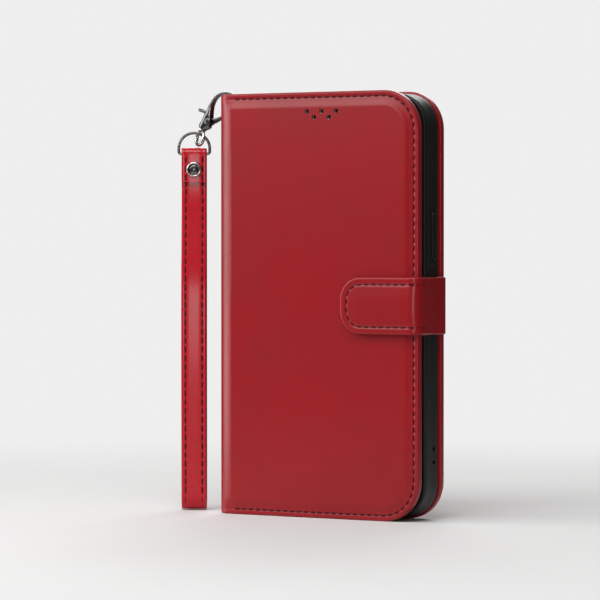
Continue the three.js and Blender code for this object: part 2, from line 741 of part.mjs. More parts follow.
// a small coil round the pin beside the lever
function gateSpring() {
  const start = -LEVER_SHIFT + LEVER_THICKNESS / 2 + FIT;
  class Coil extends THREE.Curve {
    getPoint(t, target = new THREE.Vector3()) {
      const angle = t * SPRING_TURNS * 2 * Math.PI;
      const y = start + t * SPRING_TURNS * SPRING_PITCH;
      const x = claspPivot.x + SPRING_RADIUS * Math.cos(angle);
      return target.set(x, y, claspPivot.y + SPRING_RADIUS * Math.sin(angle));
    }
  }
  const section = new THREE.Shape().absarc(0, 0, SPRING_WIRE, 0, 2 * Math.PI, false);
  return new THREE.ExtrudeGeometry(section, { steps: 28, extrudePath: new Coil(), curveSegments: 3 });
}

function gateLever() {
  const backY = -LEVER_SHIFT + LEVER_THICKNESS / 2;
  const frontY = backY - LEVER_THICKNESS;
  const arm = smoothShape(
    [[-8.0, -10.5], [-5.0, -10.1], [-2.6, -9.0], [0, -7.6], [2.3, -5.9], [3.3, -4.2], [3.3, -2.9]],
    [[2.3, -3.0], [1.7, -4.6], [0, -6.1], [-2.5, -7.4], [-5.2, -8.0], [-6.9, -8.2]],
    [[-8.5, -4.9], [-9.6, -4.6]],
    [[-10.1, -5.7], [-8.8, -9.0]],
  );
  const hub = barAlongY(HUB_RADIUS, claspPivot.x, claspPivot.y, backY, frontY, 24);
  const whole = join(slab(arm, backY, frontY, 4), hub, knobBar());
  return cut(whole, barAlongY(PIN_RADIUS + FIT, claspPivot.x, claspPivot.y, 3, -3, 16));
}

// the thumb knob: a short round bar that points up and away from the hook
function knobBar() {
  const tilt = THREE.MathUtils.degToRad(KNOB_TILT);
  const [x, z] = KNOB_CENTRE;
  const bar = new THREE.CylinderGeometry(KNOB_RADIUS, KNOB_RADIUS, KNOB_LENGTH, 14);
  return bar.rotateX(Math.PI / 2).rotateY(tilt).translate(x, -LEVER_SHIFT, z);
}

// ---- swivel, in a frame whose Z is the clasp's leaning axis ---------------------------------------
function turned(profile) {
  const points = profile.map(([radius, height]) => new THREE.Vector2(radius, height));
  return new THREE.LatheGeometry(points, 24).rotateX(Math.PI / 2);
}

function swivelRivet() {
  const seat = 1.0 + FIT;
  return turned([
    [0, -1.0],
    [RIVET_SHANK, -1.0],
    [RIVET_SHANK, seat],
    [RIVET_HEAD, seat],
    [RIVET_HEAD * 0.8, seat + RIVET_HEAD_THICKNESS],
    [0, seat + RIVET_HEAD_THICKNESS],
  ]);
}

function swivelEye() {
  const wire = EYE_WIRE;
  const centre = -(FIT + EYE_RADIUS + wire);
  const ring = new THREE.TorusGeometry(EYE_RADIUS, wire, 10, 36).rotateX(Math.PI / 2);
  ring.rotateZ(THREE.MathUtils.degToRad(EYE_TURN)).translate(0, 0, centre);
  const low = -(FIT + 2 * wire + 0.1);
  const collar = turned([
    [0, low],
    [EYE_COLLAR * 0.8, low],
    [EYE_COLLAR, -FIT - 0.4],
    [EYE_COLLAR, -FIT],
    [0, -FIT],
  ]);
  const bore = turned([[0, -1.15], [RIVET_SHANK + FIT, -1.15], [RIVET_SHANK + FIT, 0], [0, 0]]);
  return cut(join(ring, collar), bore);
}

// ---- D ring and wrist strap, in a frame turned to face half towards the spine -----------------------
class UprightCurve extends THREE.Curve {
  constructor(path) {
    super();
    this.path = path;
  }

  getPoint(t, target = new THREE.Vector3()) {
    const point = this.path.getPointAt(t % 1);
    return target.set(point.x, 0, point.y);
  }
}

function dRing() {
  const half = RING_RADIUS - RING_CORNER;
  const path = new THREE.Path();
  path.absarc(-RING_OFFSET, ringCentreZ, RING_RADIUS, 0, Math.PI, false);
  path.lineTo(-RING_OFFSET - RING_RADIUS, barZ + RING_CORNER);
  path.absarc(-RING_OFFSET - half, barZ + RING_CORNER, RING_CORNER, Math.PI, 1.5 * Math.PI, false);
  path.lineTo(-RING_OFFSET + half, barZ);
  path.absarc(-RING_OFFSET + half, barZ + RING_CORNER, RING_CORNER, -Math.PI / 2, 0, false);
  path.lineTo(-RING_OFFSET + RING_RADIUS, ringCentreZ);
  return new THREE.TubeGeometry(new UprightCurve(path), 72, RING_WIRE, 8, true);
}

// the strap's middle line in Y and Z: a fold round the ring's bar, two legs, and a round bottom
function strapLine() {
  const leg = STRAP_OPENING / 2 + STRAP_THICKNESS / 2;
  const lowZ = STRAP_FLOOR_GAP + STRAP_THICKNESS / 2 + leg;
  const foldEndZ = barZ - STRAP_FOLD_LENGTH;
  const spreadZ = foldEndZ - STRAP_CLOSE_LENGTH;
  const path = new THREE.Path();
  path.moveTo(-foldRadius, foldEndZ);
  path.lineTo(-foldRadius, barZ);
  path.absarc(0, barZ, foldRadius, Math.PI, 0, true);
  path.lineTo(foldRadius, foldEndZ);
  path.bezierCurveTo(foldRadius, foldEndZ - STRAP_EASE, leg, spreadZ + STRAP_EASE, leg, spreadZ);
  path.lineTo(leg, lowZ);
  path.absarc(0, lowZ, leg, 0, -Math.PI, true);
  path.lineTo(-leg, spreadZ);
  path.bezierCurveTo(-leg, spreadZ + STRAP_EASE, 0, foldEndZ - STRAP_EASE, 0, foldEndZ - 1);
  path.lineTo(0, barZ - STRAP_END_GAP);
  return path;
}

// a strip of even thickness along a flat line: each side is the line moved by half the thickness
function stripShape(points, thickness) {
  const last = points.length - 1;
  const side = (sign) => points.map((point, index) => {
    const before = points[Math.max(index - 1, 0)];
    const after = points[Math.min(index + 1, last)];
    const along = after.clone().sub(before).normalize();
    return new THREE.Vector2(
      point.x - sign * along.y * thickness / 2,
      point.y + sign * along.x * thickness / 2,
    );
  });
  return new THREE.Shape([...side(1), ...side(-1).reverse()]);
}

function distinct(points) {
  return points.filter((point, index) => index === 0 || point.distanceTo(points[index - 1]) > 1e-3);
}

function strapBand() {
  const shape = stripShape(distinct(strapLine().getPoints(8)), STRAP_THICKNESS);
  const band = new THREE.ExtrudeGeometry(shape, { depth: STRAP_WIDTH, bevelEnabled: false });
  band.applyMatrix4(new THREE.Matrix4().makeBasis(
    new THREE.Vector3(0, 1, 0),
    new THREE.Vector3(0, 0, 1),
    new THREE.Vector3(1, 0, 0),
  ));
  band.translate(-RING_OFFSET - STRAP_WIDTH / 2, 0, 0);
  return cut(band, barAlongY(POST_RADIUS + FIT, -RING_OFFSET, strapRivetZ, 6, -6, 16));
}

// a domed cap with a socket for the post
function rivetCap() {
  const y = -(strapLayersY + FIT);
  const dome = turned([
    [0, 0], [CAP_RADIUS, 0], [CAP_RADIUS, 0.5], [CAP_RADIUS * 0.88, 1.0],
    [CAP_RADIUS * 0.6, CAP_HEIGHT * 0.9], [CAP_RADIUS * 0.3, CAP_HEIGHT], [0, CAP_HEIGHT],
  ]);
  dome.rotateX(Math.PI / 2).translate(-RING_OFFSET, y, strapRivetZ);
  const socket = barAlongY(POST_RADIUS + FIT, -RING_OFFSET, strapRivetZ, y + 1, y - POST_SOCKET, 16);
  return cut(dome, socket);
}

function rivetPost() {
  const flangeY = strapLayersY + FIT;
  const endY = -(strapLayersY + FIT + POST_SOCKET - FIT);
  const post = barAlongY(POST_RADIUS, -RING_OFFSET, strapRivetZ, flangeY + 0.1, endY, 20);
  const flangeEndY = flangeY + POST_FLANGE_THICKNESS;
  const flange = barAlongY(POST_FLANGE, -RING_OFFSET, strapRivetZ, flangeY, flangeEndY, 24);
  return join(post, flange);
}

// ---- scene graph --------------------------------------------------------------------------------------
function piece(name, geometry, material) {
  const mesh = new THREE.Mesh(geometry, material);
  mesh.name = name;
  return mesh;
}

const backCover = new THREE.Group();
backCover.add(
  piece('back_leather', backLeather(), leatherRed),
  piece('back_foam', backFoam(), foamWhite),
  piece('back_board', backBoard(), greyboard),
  piece('back_lining', backLining(), liningRed),
  piece('back_thread', backThread(), threadDark),
  piece('tab_anchor', tabAnchor(), leatherTab),
  piece('phone_shell', phoneShell(), shellBlack),
);

const buttons = new THREE.Group();
buttons.add(
  piece('power_button', buttonCap(1, POWER_LENGTH, POWER_CENTRE), shellBlack),
  piece('volume_up_button', buttonCap(-1, VOLUME_LENGTH, VOLUME_CENTRES.up), shellBlack),
  piece('volume_down_button', buttonCap(-1, VOLUME_LENGTH, VOLUME_CENTRES.down), shellBlack),
);

const frontCover = new THREE.Group();
frontCover.add(
  piece('front_leather', frontLeather(), leatherRed),
  piece('front_foam', frontFoam(), foamWhite),
  piece('front_board', frontBoard(), greyboard),
  piece('front_magnet', frontMagnet(), magnetGrey),
  piece('front_lining', frontLining(), liningRed),
  piece('front_thread', frontThread(), threadDark),
  piece('cash_pocket', cashPocket(), pocketRed),
);
for (let number = 1; number <= CARD_POCKET_COUNT; number += 1) {
  frontCover.add(piece(`card_pocket_${number}`, cardPocket(number), pocketRed));
}

const spine = new THREE.Group();
spine.add(
  piece('spine_leather', spineLeather(), leatherRed),
  piece('spine_lining', spineLining(), liningRed),
  piece('strap_loop', strapLoop(), leatherRed),
);

const closingTab = new THREE.Group();
closingTab.add(
  piece('tab_web_leather', tabWebLeather(), leatherTab),
  piece('tab_web_lining', tabWebLining(), liningRed),
  piece('tab_flap_leather', tabFlapLeather(), leatherTab),
  piece('tab_flap_lining', tabFlapLining(), liningRed),
  piece('tab_stiffener', tabStiffener(), greyboard),
  piece('tab_magnet', tabMagnet(), magnetGrey),
);

const clasp = new THREE.Group();
clasp.position.set(strandX, LOOP_Y, strandZ);
clasp.add(
  piece('clasp_body', claspBody(), nickelDark),
  piece('clasp_pin', claspPin(), nickelDark),
  piece('gate_spring', gateSpring(), magnetGrey),
  piece('gate_lever', gateLever(), nickelDark),
);

const swivel = new THREE.Group();
swivel.position.set(claspBase.x, 0, claspBase.y);
swivel.rotation.y = lean;
swivel.add(
  piece('swivel_rivet', swivelRivet(), nickelDark),
  piece('swivel_eye', swivelEye(), nickelDark),
);
clasp.add(swivel);

const wristStrap = new THREE.Group();
wristStrap.position.set(linkX, LOOP_Y, 0);
wristStrap.rotation.z = THREE.MathUtils.degToRad(STRAP_TURN);
wristStrap.add(
  piece('d_ring', dRing(), nickelDark),
  piece('strap_band', strapBand(), leatherStrap),
  piece('rivet_cap', rivetCap(), nickelDark),
  piece('rivet_post', rivetPost(), nickelDark),
);

const walletCase = new THREE.Group();
walletCase.add(backCover, buttons, frontCover, spine, closingTab, clasp, wristStrap);

export default walletCase;
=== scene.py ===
"""Visual model of a phone wallet case: sewn covers, soft shell, closing tab and wrist strap."""

import json
import logging
import math
from dataclasses import dataclass
from enum import Enum
from typing import Sequence

import bmesh
import bpy
import numpy as np
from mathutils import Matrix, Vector


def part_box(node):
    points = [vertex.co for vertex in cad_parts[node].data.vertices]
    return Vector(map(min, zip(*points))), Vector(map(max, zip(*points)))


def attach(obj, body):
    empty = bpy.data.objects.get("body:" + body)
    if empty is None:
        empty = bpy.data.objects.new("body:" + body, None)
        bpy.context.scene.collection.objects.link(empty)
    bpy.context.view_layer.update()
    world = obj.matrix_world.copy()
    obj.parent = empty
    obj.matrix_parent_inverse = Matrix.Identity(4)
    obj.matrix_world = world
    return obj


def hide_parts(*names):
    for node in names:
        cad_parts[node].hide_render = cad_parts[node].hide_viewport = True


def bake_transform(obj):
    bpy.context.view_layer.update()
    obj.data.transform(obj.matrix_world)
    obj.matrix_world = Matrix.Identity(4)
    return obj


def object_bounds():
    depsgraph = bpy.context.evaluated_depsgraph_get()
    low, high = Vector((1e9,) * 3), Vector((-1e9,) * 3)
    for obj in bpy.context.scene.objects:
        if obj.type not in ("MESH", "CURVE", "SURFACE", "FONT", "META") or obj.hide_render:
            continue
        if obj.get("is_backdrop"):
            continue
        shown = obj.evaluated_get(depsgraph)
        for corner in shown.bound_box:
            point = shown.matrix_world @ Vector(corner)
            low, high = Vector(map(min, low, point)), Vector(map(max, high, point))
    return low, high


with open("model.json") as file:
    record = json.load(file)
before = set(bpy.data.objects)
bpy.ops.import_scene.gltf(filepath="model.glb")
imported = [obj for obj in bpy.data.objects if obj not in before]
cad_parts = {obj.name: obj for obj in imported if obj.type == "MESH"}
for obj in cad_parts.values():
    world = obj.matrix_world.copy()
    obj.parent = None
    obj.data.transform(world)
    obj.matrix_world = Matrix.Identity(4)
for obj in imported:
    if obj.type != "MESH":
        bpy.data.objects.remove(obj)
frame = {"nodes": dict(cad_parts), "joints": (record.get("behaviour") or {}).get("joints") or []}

LOG = logging.getLogger("wallet_case")
CAD_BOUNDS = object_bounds()
MM = 0.001
CAD_WELD = 2e-6
FLAT_ANGLE = math.radians(2)
HARD_ANGLE = math.radians(35)
Array = np.ndarray
Colour = tuple[float, float, float]


# ---- numbers ------------------------------------------------------------------------------------
def box_mm(node: str) -> tuple[Array, Array]:
    """Lowest and highest corner of a CAD node in millimetres."""
    low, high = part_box(node)
    return np.array(low) / MM, np.array(high) / MM


def smooth_step(value: Array, start: float, end: float) -> Array:
    """Cubic step: 0 before start, 1 after end, 3t^2 - 2t^3 between them."""
    t = np.clip((np.asarray(value, float) - start) / (end - start), 0, 1)
    return t * t * (3 - 2 * t)


def hump(value: Array, centre: float, width: float) -> Array:
    """Bell curve: e to the minus square of the distance from centre over width."""
    return np.exp(-(((np.asarray(value, float) - centre) / width) ** 2))


def arc(cx: float, cy: float, radius: float, start: float, end: float, count: int) -> Array:
    """Points of a circle's arc: centre plus radius times cosine and sine, angles in degrees."""
    angle = np.radians(np.linspace(start, end, count))
    return np.stack([cx + radius * np.cos(angle), cy + radius * np.sin(angle)], -1)


def catmull(points: Sequence[Sequence[float]], per_span: int) -> Array:
    """Catmull-Rom curve through points, as a cubic blend of four neighbours.

    Args:
        points: the points passed through, in any number of dimensions.
        per_span: samples on each span.
    Returns:
        The sampled curve, one row per point.
    """
    p = np.asarray(points, float)
    q = np.vstack([2 * p[:1] - p[1:2], p, 2 * p[-1:] - p[-2:-1]])
    t = np.linspace(0, 1, per_span, endpoint=False)[:, None, None]
    a, b, c, d = q[:-3], q[1:-2], q[2:-1], q[3:]
    curve = 0.5 * (2 * b + (c - a) * t + (2 * a - 5 * b + 4 * c - d) * t**2
                   + (3 * b - a - 3 * c + d) * t**3)
    return np.vstack([curve.transpose(1, 0, 2).reshape(-1, p.shape[1]), p[-1:]])


def resample(path: Array, step: float) -> Array:
    """Path cut into equal steps of about a length, interpolated along its arc length."""
    length = np.concatenate([[0], np.cumsum(np.linalg.norm(np.diff(path, axis=0), axis=1))])
    marks = np.linspace(0, length[-1], max(int(round(length[-1] / step)), 2) + 1)
    return np.stack([np.interp(marks, length, path[:, k]) for k in range(path.shape[1])], -1)


def directions(path: Array, closed: bool = False) -> Array:
    """Unit direction at each point: the difference of its neighbours, normalised."""
    if closed:
        d = np.roll(path, -1, axis=0) - np.roll(path, 1, axis=0)
    else:
        d = np.gradient(path, axis=0)
    return d / np.maximum(np.linalg.norm(d, axis=1, keepdims=True), 1e-9)


# ---- meshes -------------------------------------------------------------------------------------
class Surface:
    """Collects grids of points in millimetres and turns them into one mesh object in metres."""

    def __init__(self) -> None:
        """Starts with no points and no faces."""
        self.points: list[Array] = []
        self.faces: list[Array] = []
        self.count = 0

    def grid(self, points: Array, close_rows: bool = False,
             close_cols: bool = False) -> "Surface":
        """Adds a grid of quads.

        Args:
            points: rows by columns by three coordinates.
            close_rows: joins the last row to the first.
            close_cols: joins the last column to the first.
        Returns:
            The surface itself.
        """
        rows, cols = points.shape[:2]
        i, j = np.meshgrid(np.arange(rows if close_rows else rows - 1),
                           np.arange(cols if close_cols else cols - 1), indexing="ij")
        up, right = (i + 1) % rows, (j + 1) % cols
        quads = np.stack([i * cols + j, i * cols + right, up * cols + right, up * cols + j], -1)
        self.faces.append(quads.reshape(-1, 4) + self.count)
        self.points.append(points.reshape(-1, 3))
        self.count += rows * cols
        return self

    def copies(self, points: Array, faces: Array) -> "Surface":
        """Adds many copies of one shape: points is copies by vertices by three."""
        number, size = points.shape[:2]
        shift = (np.arange(number) * size)[:, None, None] + self.count
        self.faces.append((faces[None] + shift).reshape(-1, faces.shape[1]))
        self.points.append(points.reshape(-1, 3))
        self.count += number * size
        return self

    def build(self, name: str, weld: float = 0.002, outward: bool = True,
              sharp: float = 40) -> bpy.types.Object:
        """Makes the object, welding points that meet.

        Args:
            name: the object's name.
            weld: distance in millimetres within which points join; 0 leaves them.
            outward: whether normals are recalculated to face outwards.
            sharp: angle in degrees past which an edge is shaded sharp.
        Returns:
            The new object, linked to the scene.
        """
        mesh = bpy.data.meshes.new(name)
        points = np.vstack(self.points) * MM
        mesh.from_pydata(points.tolist(), [], np.vstack(self.faces).tolist())
        work = bmesh.new()
        work.from_mesh(mesh)
        if weld:
            bmesh.ops.remove_doubles(work, verts=work.verts, dist=weld * MM)
            bmesh.ops.dissolve_degenerate(work, dist=1e-7, edges=work.edges)
        if outward:
            bmesh.ops.recalc_face_normals(work, faces=work.faces)
        work.to_mesh(mesh)
        work.free()
        obj = bpy.data.objects.new(name, mesh)
        bpy.context.scene.collection.objects.link(obj)
        shade(obj, sharp)
        return obj


def shade(obj: bpy.types.Object, sharp: float) -> None:
    """Smooth shading, with edges past the angle in degrees left sharp."""
    mesh = obj.data
    mesh.polygons.foreach_set("use_smooth", np.ones(len(mesh.polygons), bool))
    mesh.set_sharp_from_angle(angle=math.radians(sharp))
    mesh.update()


def finished(obj: bpy.types.Object, sharp: float = 40) -> bpy.types.Object:
    """The object with its modifiers applied to the mesh."""
    graph = bpy.context.evaluated_depsgraph_get()
    mesh = bpy.data.meshes.new_from_object(obj.evaluated_get(graph))
    obj.modifiers.clear()
    obj.data = mesh
    mesh.name = obj.name
    shade(obj, sharp)
    return obj


def thicken(obj: bpy.types.Object, thickness: float) -> bpy.types.Object:
    """Gives an open skin a wall, growing inwards from its outer face."""
    solid = obj.modifiers.new("wall", "SOLIDIFY")
    solid.thickness = thickness * MM
    solid.offset = -1
    return finished(obj)


def punch(obj: bpy.types.Object, tools: Sequence[bpy.types.Object],
          sharp: float = 40) -> bpy.types.Object:
    """Cuts closed tool shapes out of a closed piece and removes the tools."""
    for tool in tools:
        cutter = obj.modifiers.new("cut", "BOOLEAN")
        cutter.operation = "DIFFERENCE"
        cutter.solver = "EXACT"
        cutter.object = tool
    finished(obj, sharp)
    for tool in tools:
        bpy.data.objects.remove(tool)
    return obj


def bevelled_copy(node: str, name: str, width: float) -> bpy.types.Object:
    """A welded copy of a CAD node with its hard edges rounded.

    Args:
        node: the CAD node.
        name: the new object's name.
        width: bevel width in millimetres.
    Returns:
        The new object.
    """
    source = frame["nodes"][node]
    mesh = source.data.copy()
    mesh.materials.clear()
    work = bmesh.new()
    work.from_mesh(mesh)
    bmesh.ops.remove_doubles(work, verts=work.verts, dist=CAD_WELD)
    bmesh.ops.dissolve_limit(work, angle_limit=FLAT_ANGLE, verts=work.verts, edges=work.edges)
    work.to_mesh(mesh)
    work.free()
    obj = bpy.data.objects.new(name, mesh)
    bpy.context.scene.collection.objects.link(obj)
    bevel = obj.modifiers.new("edge", "BEVEL")
    bevel.width = width * MM
    bevel.segments = 3
    bevel.limit_method = "ANGLE"
    bevel.angle_limit = HARD_ANGLE
    bevel.use_clamp_overlap = True
    return finished(obj, 50)


def loop_points(low: Sequence[float], high: Sequence[float], radii: tuple[float, float],
                inset: float, corner: int = 10, run: int = 24, side: int = 40) -> Array:
    """Closed rounded rectangle in X and Z drawn in by an inset, with the same count at any inset.

    Four quarter circles joined by straight runs; a radius never falls under a fifth of its own,
    nor passes half the side.

    Args:
        low: lowest x and z.
        high: highest x and z.
        radii: corner radius on the low-x side and on the high-x side.
        inset: how far the loop is drawn in.
        corner: points on each corner.
        run: points on each X side.
        side: points on each Z side.
    Returns:
        Points by two.
    """
    x0, z0 = low[0] + inset, low[1] + inset
    x1, z1 = high[0] - inset, high[1] - inset
    most = max(min(x1 - x0, z1 - z0) / 2, 0)
    a, b = (min(max(r - inset, 0.2 * r), most) for r in radii)
    parts = [
        np.stack([np.linspace(x0 + a, x1 - b, run), np.full(run, z0)], -1),
        arc(x1 - b, z0 + b, b, -90, 0, corner),
        np.stack([np.full(side, x1), np.linspace(z0 + b, z1 - b, side)], -1),
        arc(x1 - b, z1 - b, b, 0, 90, corner),
        np.stack([np.linspace(x1 - b, x0 + a, run), np.full(run, z1)], -1),
        arc(x0 + a, z1 - a, a, 90, 180, corner),
        np.stack([np.full(side, x0), np.linspace(z1 - a, z0 + a, side)], -1),
        arc(x0 + a, z0 + a, a, 180, 270, corner),
    ]
    return np.vstack(parts)


def rounded_plate(name: str, low: Sequence[float], high: Sequence[float],
                  radii: tuple[float, float], profile: Sequence[tuple[float, float]],
                  sharp: float = 40, order: tuple[int, int, int] = (0, 1, 2),
                  **counts: int) -> bpy.types.Object:
    """Closed plate: a profile of inset and y carried round a rounded rectangle.

    Args:
        name: the object's name.
        low: lowest x and z of the outline.
        high: highest x and z of the outline.
        radii: corner radii on the low-x and high-x sides.
        profile: inset and y of each ring, from the middle of one face round to the other's.
        sharp: shading angle in degrees.
        order: which of the outline's first axis, the profile's depth and the outline's second
            axis is laid along X, Y and Z.
        counts: point counts handed to loop_points.
    Returns:
        The plate.
    """
    middle = min(high[0] - low[0], high[1] - low[1]) / 2
    rings = []
    for inset, y in profile:
        flat = loop_points(low, high, radii, min(inset, middle), **counts)
        rings.append(np.stack([flat[:, 0], np.full(len(flat), y), flat[:, 1]], -1)[:, order])
    return Surface().grid(np.array(rings), close_cols=True).build(name, sharp=sharp)


def tube(name: str, path: Array, radius: Array | float, sides: int = 16, closed: bool = False,
         flat: Array | float = 1.0, across: Sequence[float] = (0, 1, 0)) -> bpy.types.Object:
    """Round or oval section carried along a path.

    Point = path + radius (cos a) u + radius flat (sin a) v, with u square to the path in the
    plane away from across, and v along across.

    Args:
        name: the object's name.
        path: points by three, in millimetres.
        radius: half width at each point, measured along u.
        sides: points round the section.
        closed: whether the path is a loop.
        flat: half depth along v as a share of radius.
        across: the direction that v keeps near to.
    Returns:
        The tube, with its ends closed.
    """
    t = directions(path, closed)
    v = np.asarray(across, float) - t * (t @ np.asarray(across, float))[:, None]
    v /= np.maximum(np.linalg.norm(v, axis=1, keepdims=True), 1e-9)
    u = np.cross(v, t)
    angle = np.linspace(0, 2 * np.pi, sides, endpoint=False)
    r = np.broadcast_to(np.asarray(radius, float), (len(path),))
    f = np.broadcast_to(np.asarray(flat, float), (len(path),))
    ring = (path[:, None] + (r[:, None] * np.cos(angle))[..., None] * u[:, None]
            + ((r * f)[:, None] * np.sin(angle))[..., None] * v[:, None])
    if not closed:
        first, last = path[:1, None].repeat(sides, 1), path[-1:, None].repeat(sides, 1)
        ring = np.concatenate([first, ring, last])
    return Surface().grid(ring, close_rows=closed, close_cols=True).build(name)


def lathe(name: str, profile: Sequence[tuple[float, float]], centre: Sequence[float],
          axis: Sequence[float], sides: int = 48, sharp: float = 40) -> bpy.types.Object:
    """Profile of radius and height spun round an axis: centre + h axis + r (cos a u + sin a v)."""
    w = np.asarray(axis, float) / np.linalg.norm(axis)
    u = np.cross(w, [0.3, 0.2, 0.9] if abs(w[2]) < 0.9 else [1.0, 0, 0])
    u /= np.linalg.norm(u)
    v = np.cross(w, u)
    angle = np.linspace(0, 2 * np.pi, sides, endpoint=False)
    r, h = np.array(profile, float).T
    spun = (np.asarray(centre, float) + h[:, None, None] * w
            + r[:, None, None] * (np.cos(angle)[:, None] * u + np.sin(angle)[:, None] * v))
    return Surface().grid(spun, close_cols=True).build(name, sharp=sharp)


def stitch_row(surface: Surface, starts: Array, ends: Array, out: Array, width: float,
               rise: float) -> None:
    """Adds stitches, each a thread that rises from one hole, lies over and dips into the next.

    Along a stitch, height is rise times the sine of its share raised to 0.7, and half width
    follows the sine to 0.35; the section is an oval.

    Args:
        surface: where the stitches are added.
        starts: first hole of each stitch.
        ends: last hole of each stitch.
        out: unit direction away from the leather at each stitch.
        width: thread width.
        rise: how proud the thread lies.
    """
    share = np.linspace(0, 1, 7)
    lift = np.sin(np.pi * share) ** 0.7 * rise - 0.12
    half = width / 2 * np.clip(np.sin(np.pi * (0.06 + 0.88 * share)), 0.1, 1) ** 0.35
    along = ends - starts
    line = starts[:, None] + along[:, None] * share[:, None] + out[:, None] * lift[:, None]
    side = np.cross(out, along)
    side /= np.maximum(np.linalg.norm(side, axis=1, keepdims=True), 1e-9)
    angle = np.linspace(0, 2 * np.pi, 6, endpoint=False)
    ring = (line[:, :, None]
            + (half[:, None] * np.cos(angle))[None, ..., None] * side[:, None, None]
            + (0.75 * half[:, None] * np.sin(angle))[None, ..., None] * out[:, None, None])
    i, j = np.meshgrid(np.arange(6), np.arange(6), indexing="ij")
    near, far = (j + 0 * i), (j + 1) % 6
    quads = np.stack([i * 6 + near, i * 6 + far, (i + 1) * 6 + far, (i + 1) * 6 + near], -1)
    caps = np.array([[5, 4, 3, 2], [5, 2, 1, 0], [36, 37, 38, 39], [36, 39, 40, 41]])
    surface.copies(ring.reshape(len(starts), -1, 3), np.vstack([quads.reshape(-1, 4), caps]))


# ---- shader maths -------------------------------------------------------------------------------
class Value:
    """A socket on which Python's operators add Math nodes."""

    def __init__(self, graph: "Graph", socket: bpy.types.NodeSocket) -> None:
        """Wraps an output socket of a graph."""
        self.graph = graph
        self.socket = socket

    def _math(self, operation: str, left: object, right: object) -> "Value":
        """A Math node on two values."""
        return self.graph.node("ShaderNodeMath", {"operation": operation}, {0: left, 1: right})

    def __add__(self, other: object) -> "Value":
        """Sum."""
        return self._math("ADD", self, other)

    __radd__ = __add__

    def __rsub__(self, other: object) -> "Value":
        """Difference from a number."""
        return self._math("SUBTRACT", other, self)

    def __mul__(self, other: object) -> "Value":
        """Product."""
        return self._math("MULTIPLY", self, other)

    __rmul__ = __mul__

    def step(self, low: float, high: float) -> "Value":
        """Smooth step from 0 at low to 1 at high."""
        return self.graph.node("ShaderNodeMapRange", {"interpolation_type": "SMOOTHSTEP"}, {
            "Value": self, "From Min": low, "From Max": high})


class Graph:
    """One material's node tree."""

    def __init__(self, name: str) -> None:
        """A new material with an empty Principled shader."""
        self.material = bpy.data.materials.new(name)
        self.material.use_nodes = True
        self.tree = self.material.node_tree
        self.shader = next(n for n in self.tree.nodes if n.type == "BSDF_PRINCIPLED")

    def node(self, kind: str, settings: dict[str, object] | None = None,
             inputs: dict[object, object] | None = None, out: object = 0) -> Value:
        """Adds a node.

        Args:
            kind: the node's type.
            settings: its properties, set first.
            inputs: numbers, vectors or values for its sockets, by name or place.
            out: name or place of the output wanted.
        Returns:
            That output.
        """
        made = self.tree.nodes.new(kind)
        for key, value in (settings or {}).items():
            setattr(made, key, value)
        for key, value in (inputs or {}).items():
            self.feed(made.inputs[key], value)
        return Value(self, made.outputs[out])

    def feed(self, socket: bpy.types.NodeSocket, value: object) -> None:
        """Links a value to a socket, or sets the socket to a number or colour."""
        if isinstance(value, Value):
            self.tree.links.new(value.socket, socket)
        elif isinstance(value, tuple) and len(value) == 3 and socket.type == "RGBA":
            socket.default_value = (*value, 1)
        else:
            socket.default_value = value

    def surface(self, **inputs: object) -> bpy.types.Material:
        """Sets the shader's sockets, written with underscores for spaces."""
        for key, value in inputs.items():
            self.feed(self.shader.inputs[key.replace("_", " ")], value)
        return self.material

    def place(self) -> Value:
        """Object coordinates."""
        return self.node("ShaderNodeTexCoord", out="Object")

    def stretched(self, scale: tuple[float, float, float]) -> Value:
        """Object coordinates stretched along the axes."""
        return self.node("ShaderNodeMapping", None, {"Vector": self.place(), "Scale": scale})

    def noise(self, size_mm: float, detail: float = 3, rough: float = 0.55,
              vector: Value | None = None) -> Value:
        """Cloudy noise with features of about the given size."""
        return self.node("ShaderNodeTexNoise", None, {
            "Vector": vector or self.place(), "Scale": 1 / (size_mm * MM), "Detail": detail,
            "Roughness": rough})

    def cells(self, size_mm: float) -> Value:
        """Distance to the nearest of scattered points, about the given size apart."""
        return self.node("ShaderNodeTexVoronoi", {"feature": "SMOOTH_F1"}, {
            "Vector": self.place(), "Scale": 1 / (size_mm * MM)}, "Distance")

    def blend(self, share: object, first: object, second: object) -> Value:
        """Mix of two colours."""
        made = self.tree.nodes.new("ShaderNodeMix")
        made.data_type = "RGBA"
        sockets = [s for s in made.inputs if s.enabled]
        for socket, value in zip(sockets, (share, first, second)):
            self.feed(socket, value)
        return Value(self, next(s for s in made.outputs if s.enabled))

    def bump(self, height: Value, depth_mm: float, strength: float = 1.0) -> Value:
        """Normal from a height of 0 to 1 that stands for a depth."""
        return self.node("ShaderNodeBump", None, {
            "Height": height, "Distance": depth_mm * MM, "Strength": strength})


def srgb(red: int, green: int, blue: int) -> Colour:
    """Linear colour of an 8-bit screen colour."""
    def linear(c: float) -> float:
        """One channel, by the screen's power law."""
        return c / 12.92 if c <= 0.04045 else ((c + 0.055) / 1.055) ** 2.4
    return tuple(linear(c / 255) for c in (red, green, blue))


# ---- finishes -----------------------------------------------------------------------------------
class Gloss(Enum):
    """How shiny a coated leather is: roughness and clear coat."""

    POLISHED = (0.26, 0.2)
    SATIN = (0.31, 0.08)
    SOFT = (0.44, 0.05)
    MATT = (0.62, 0.0)


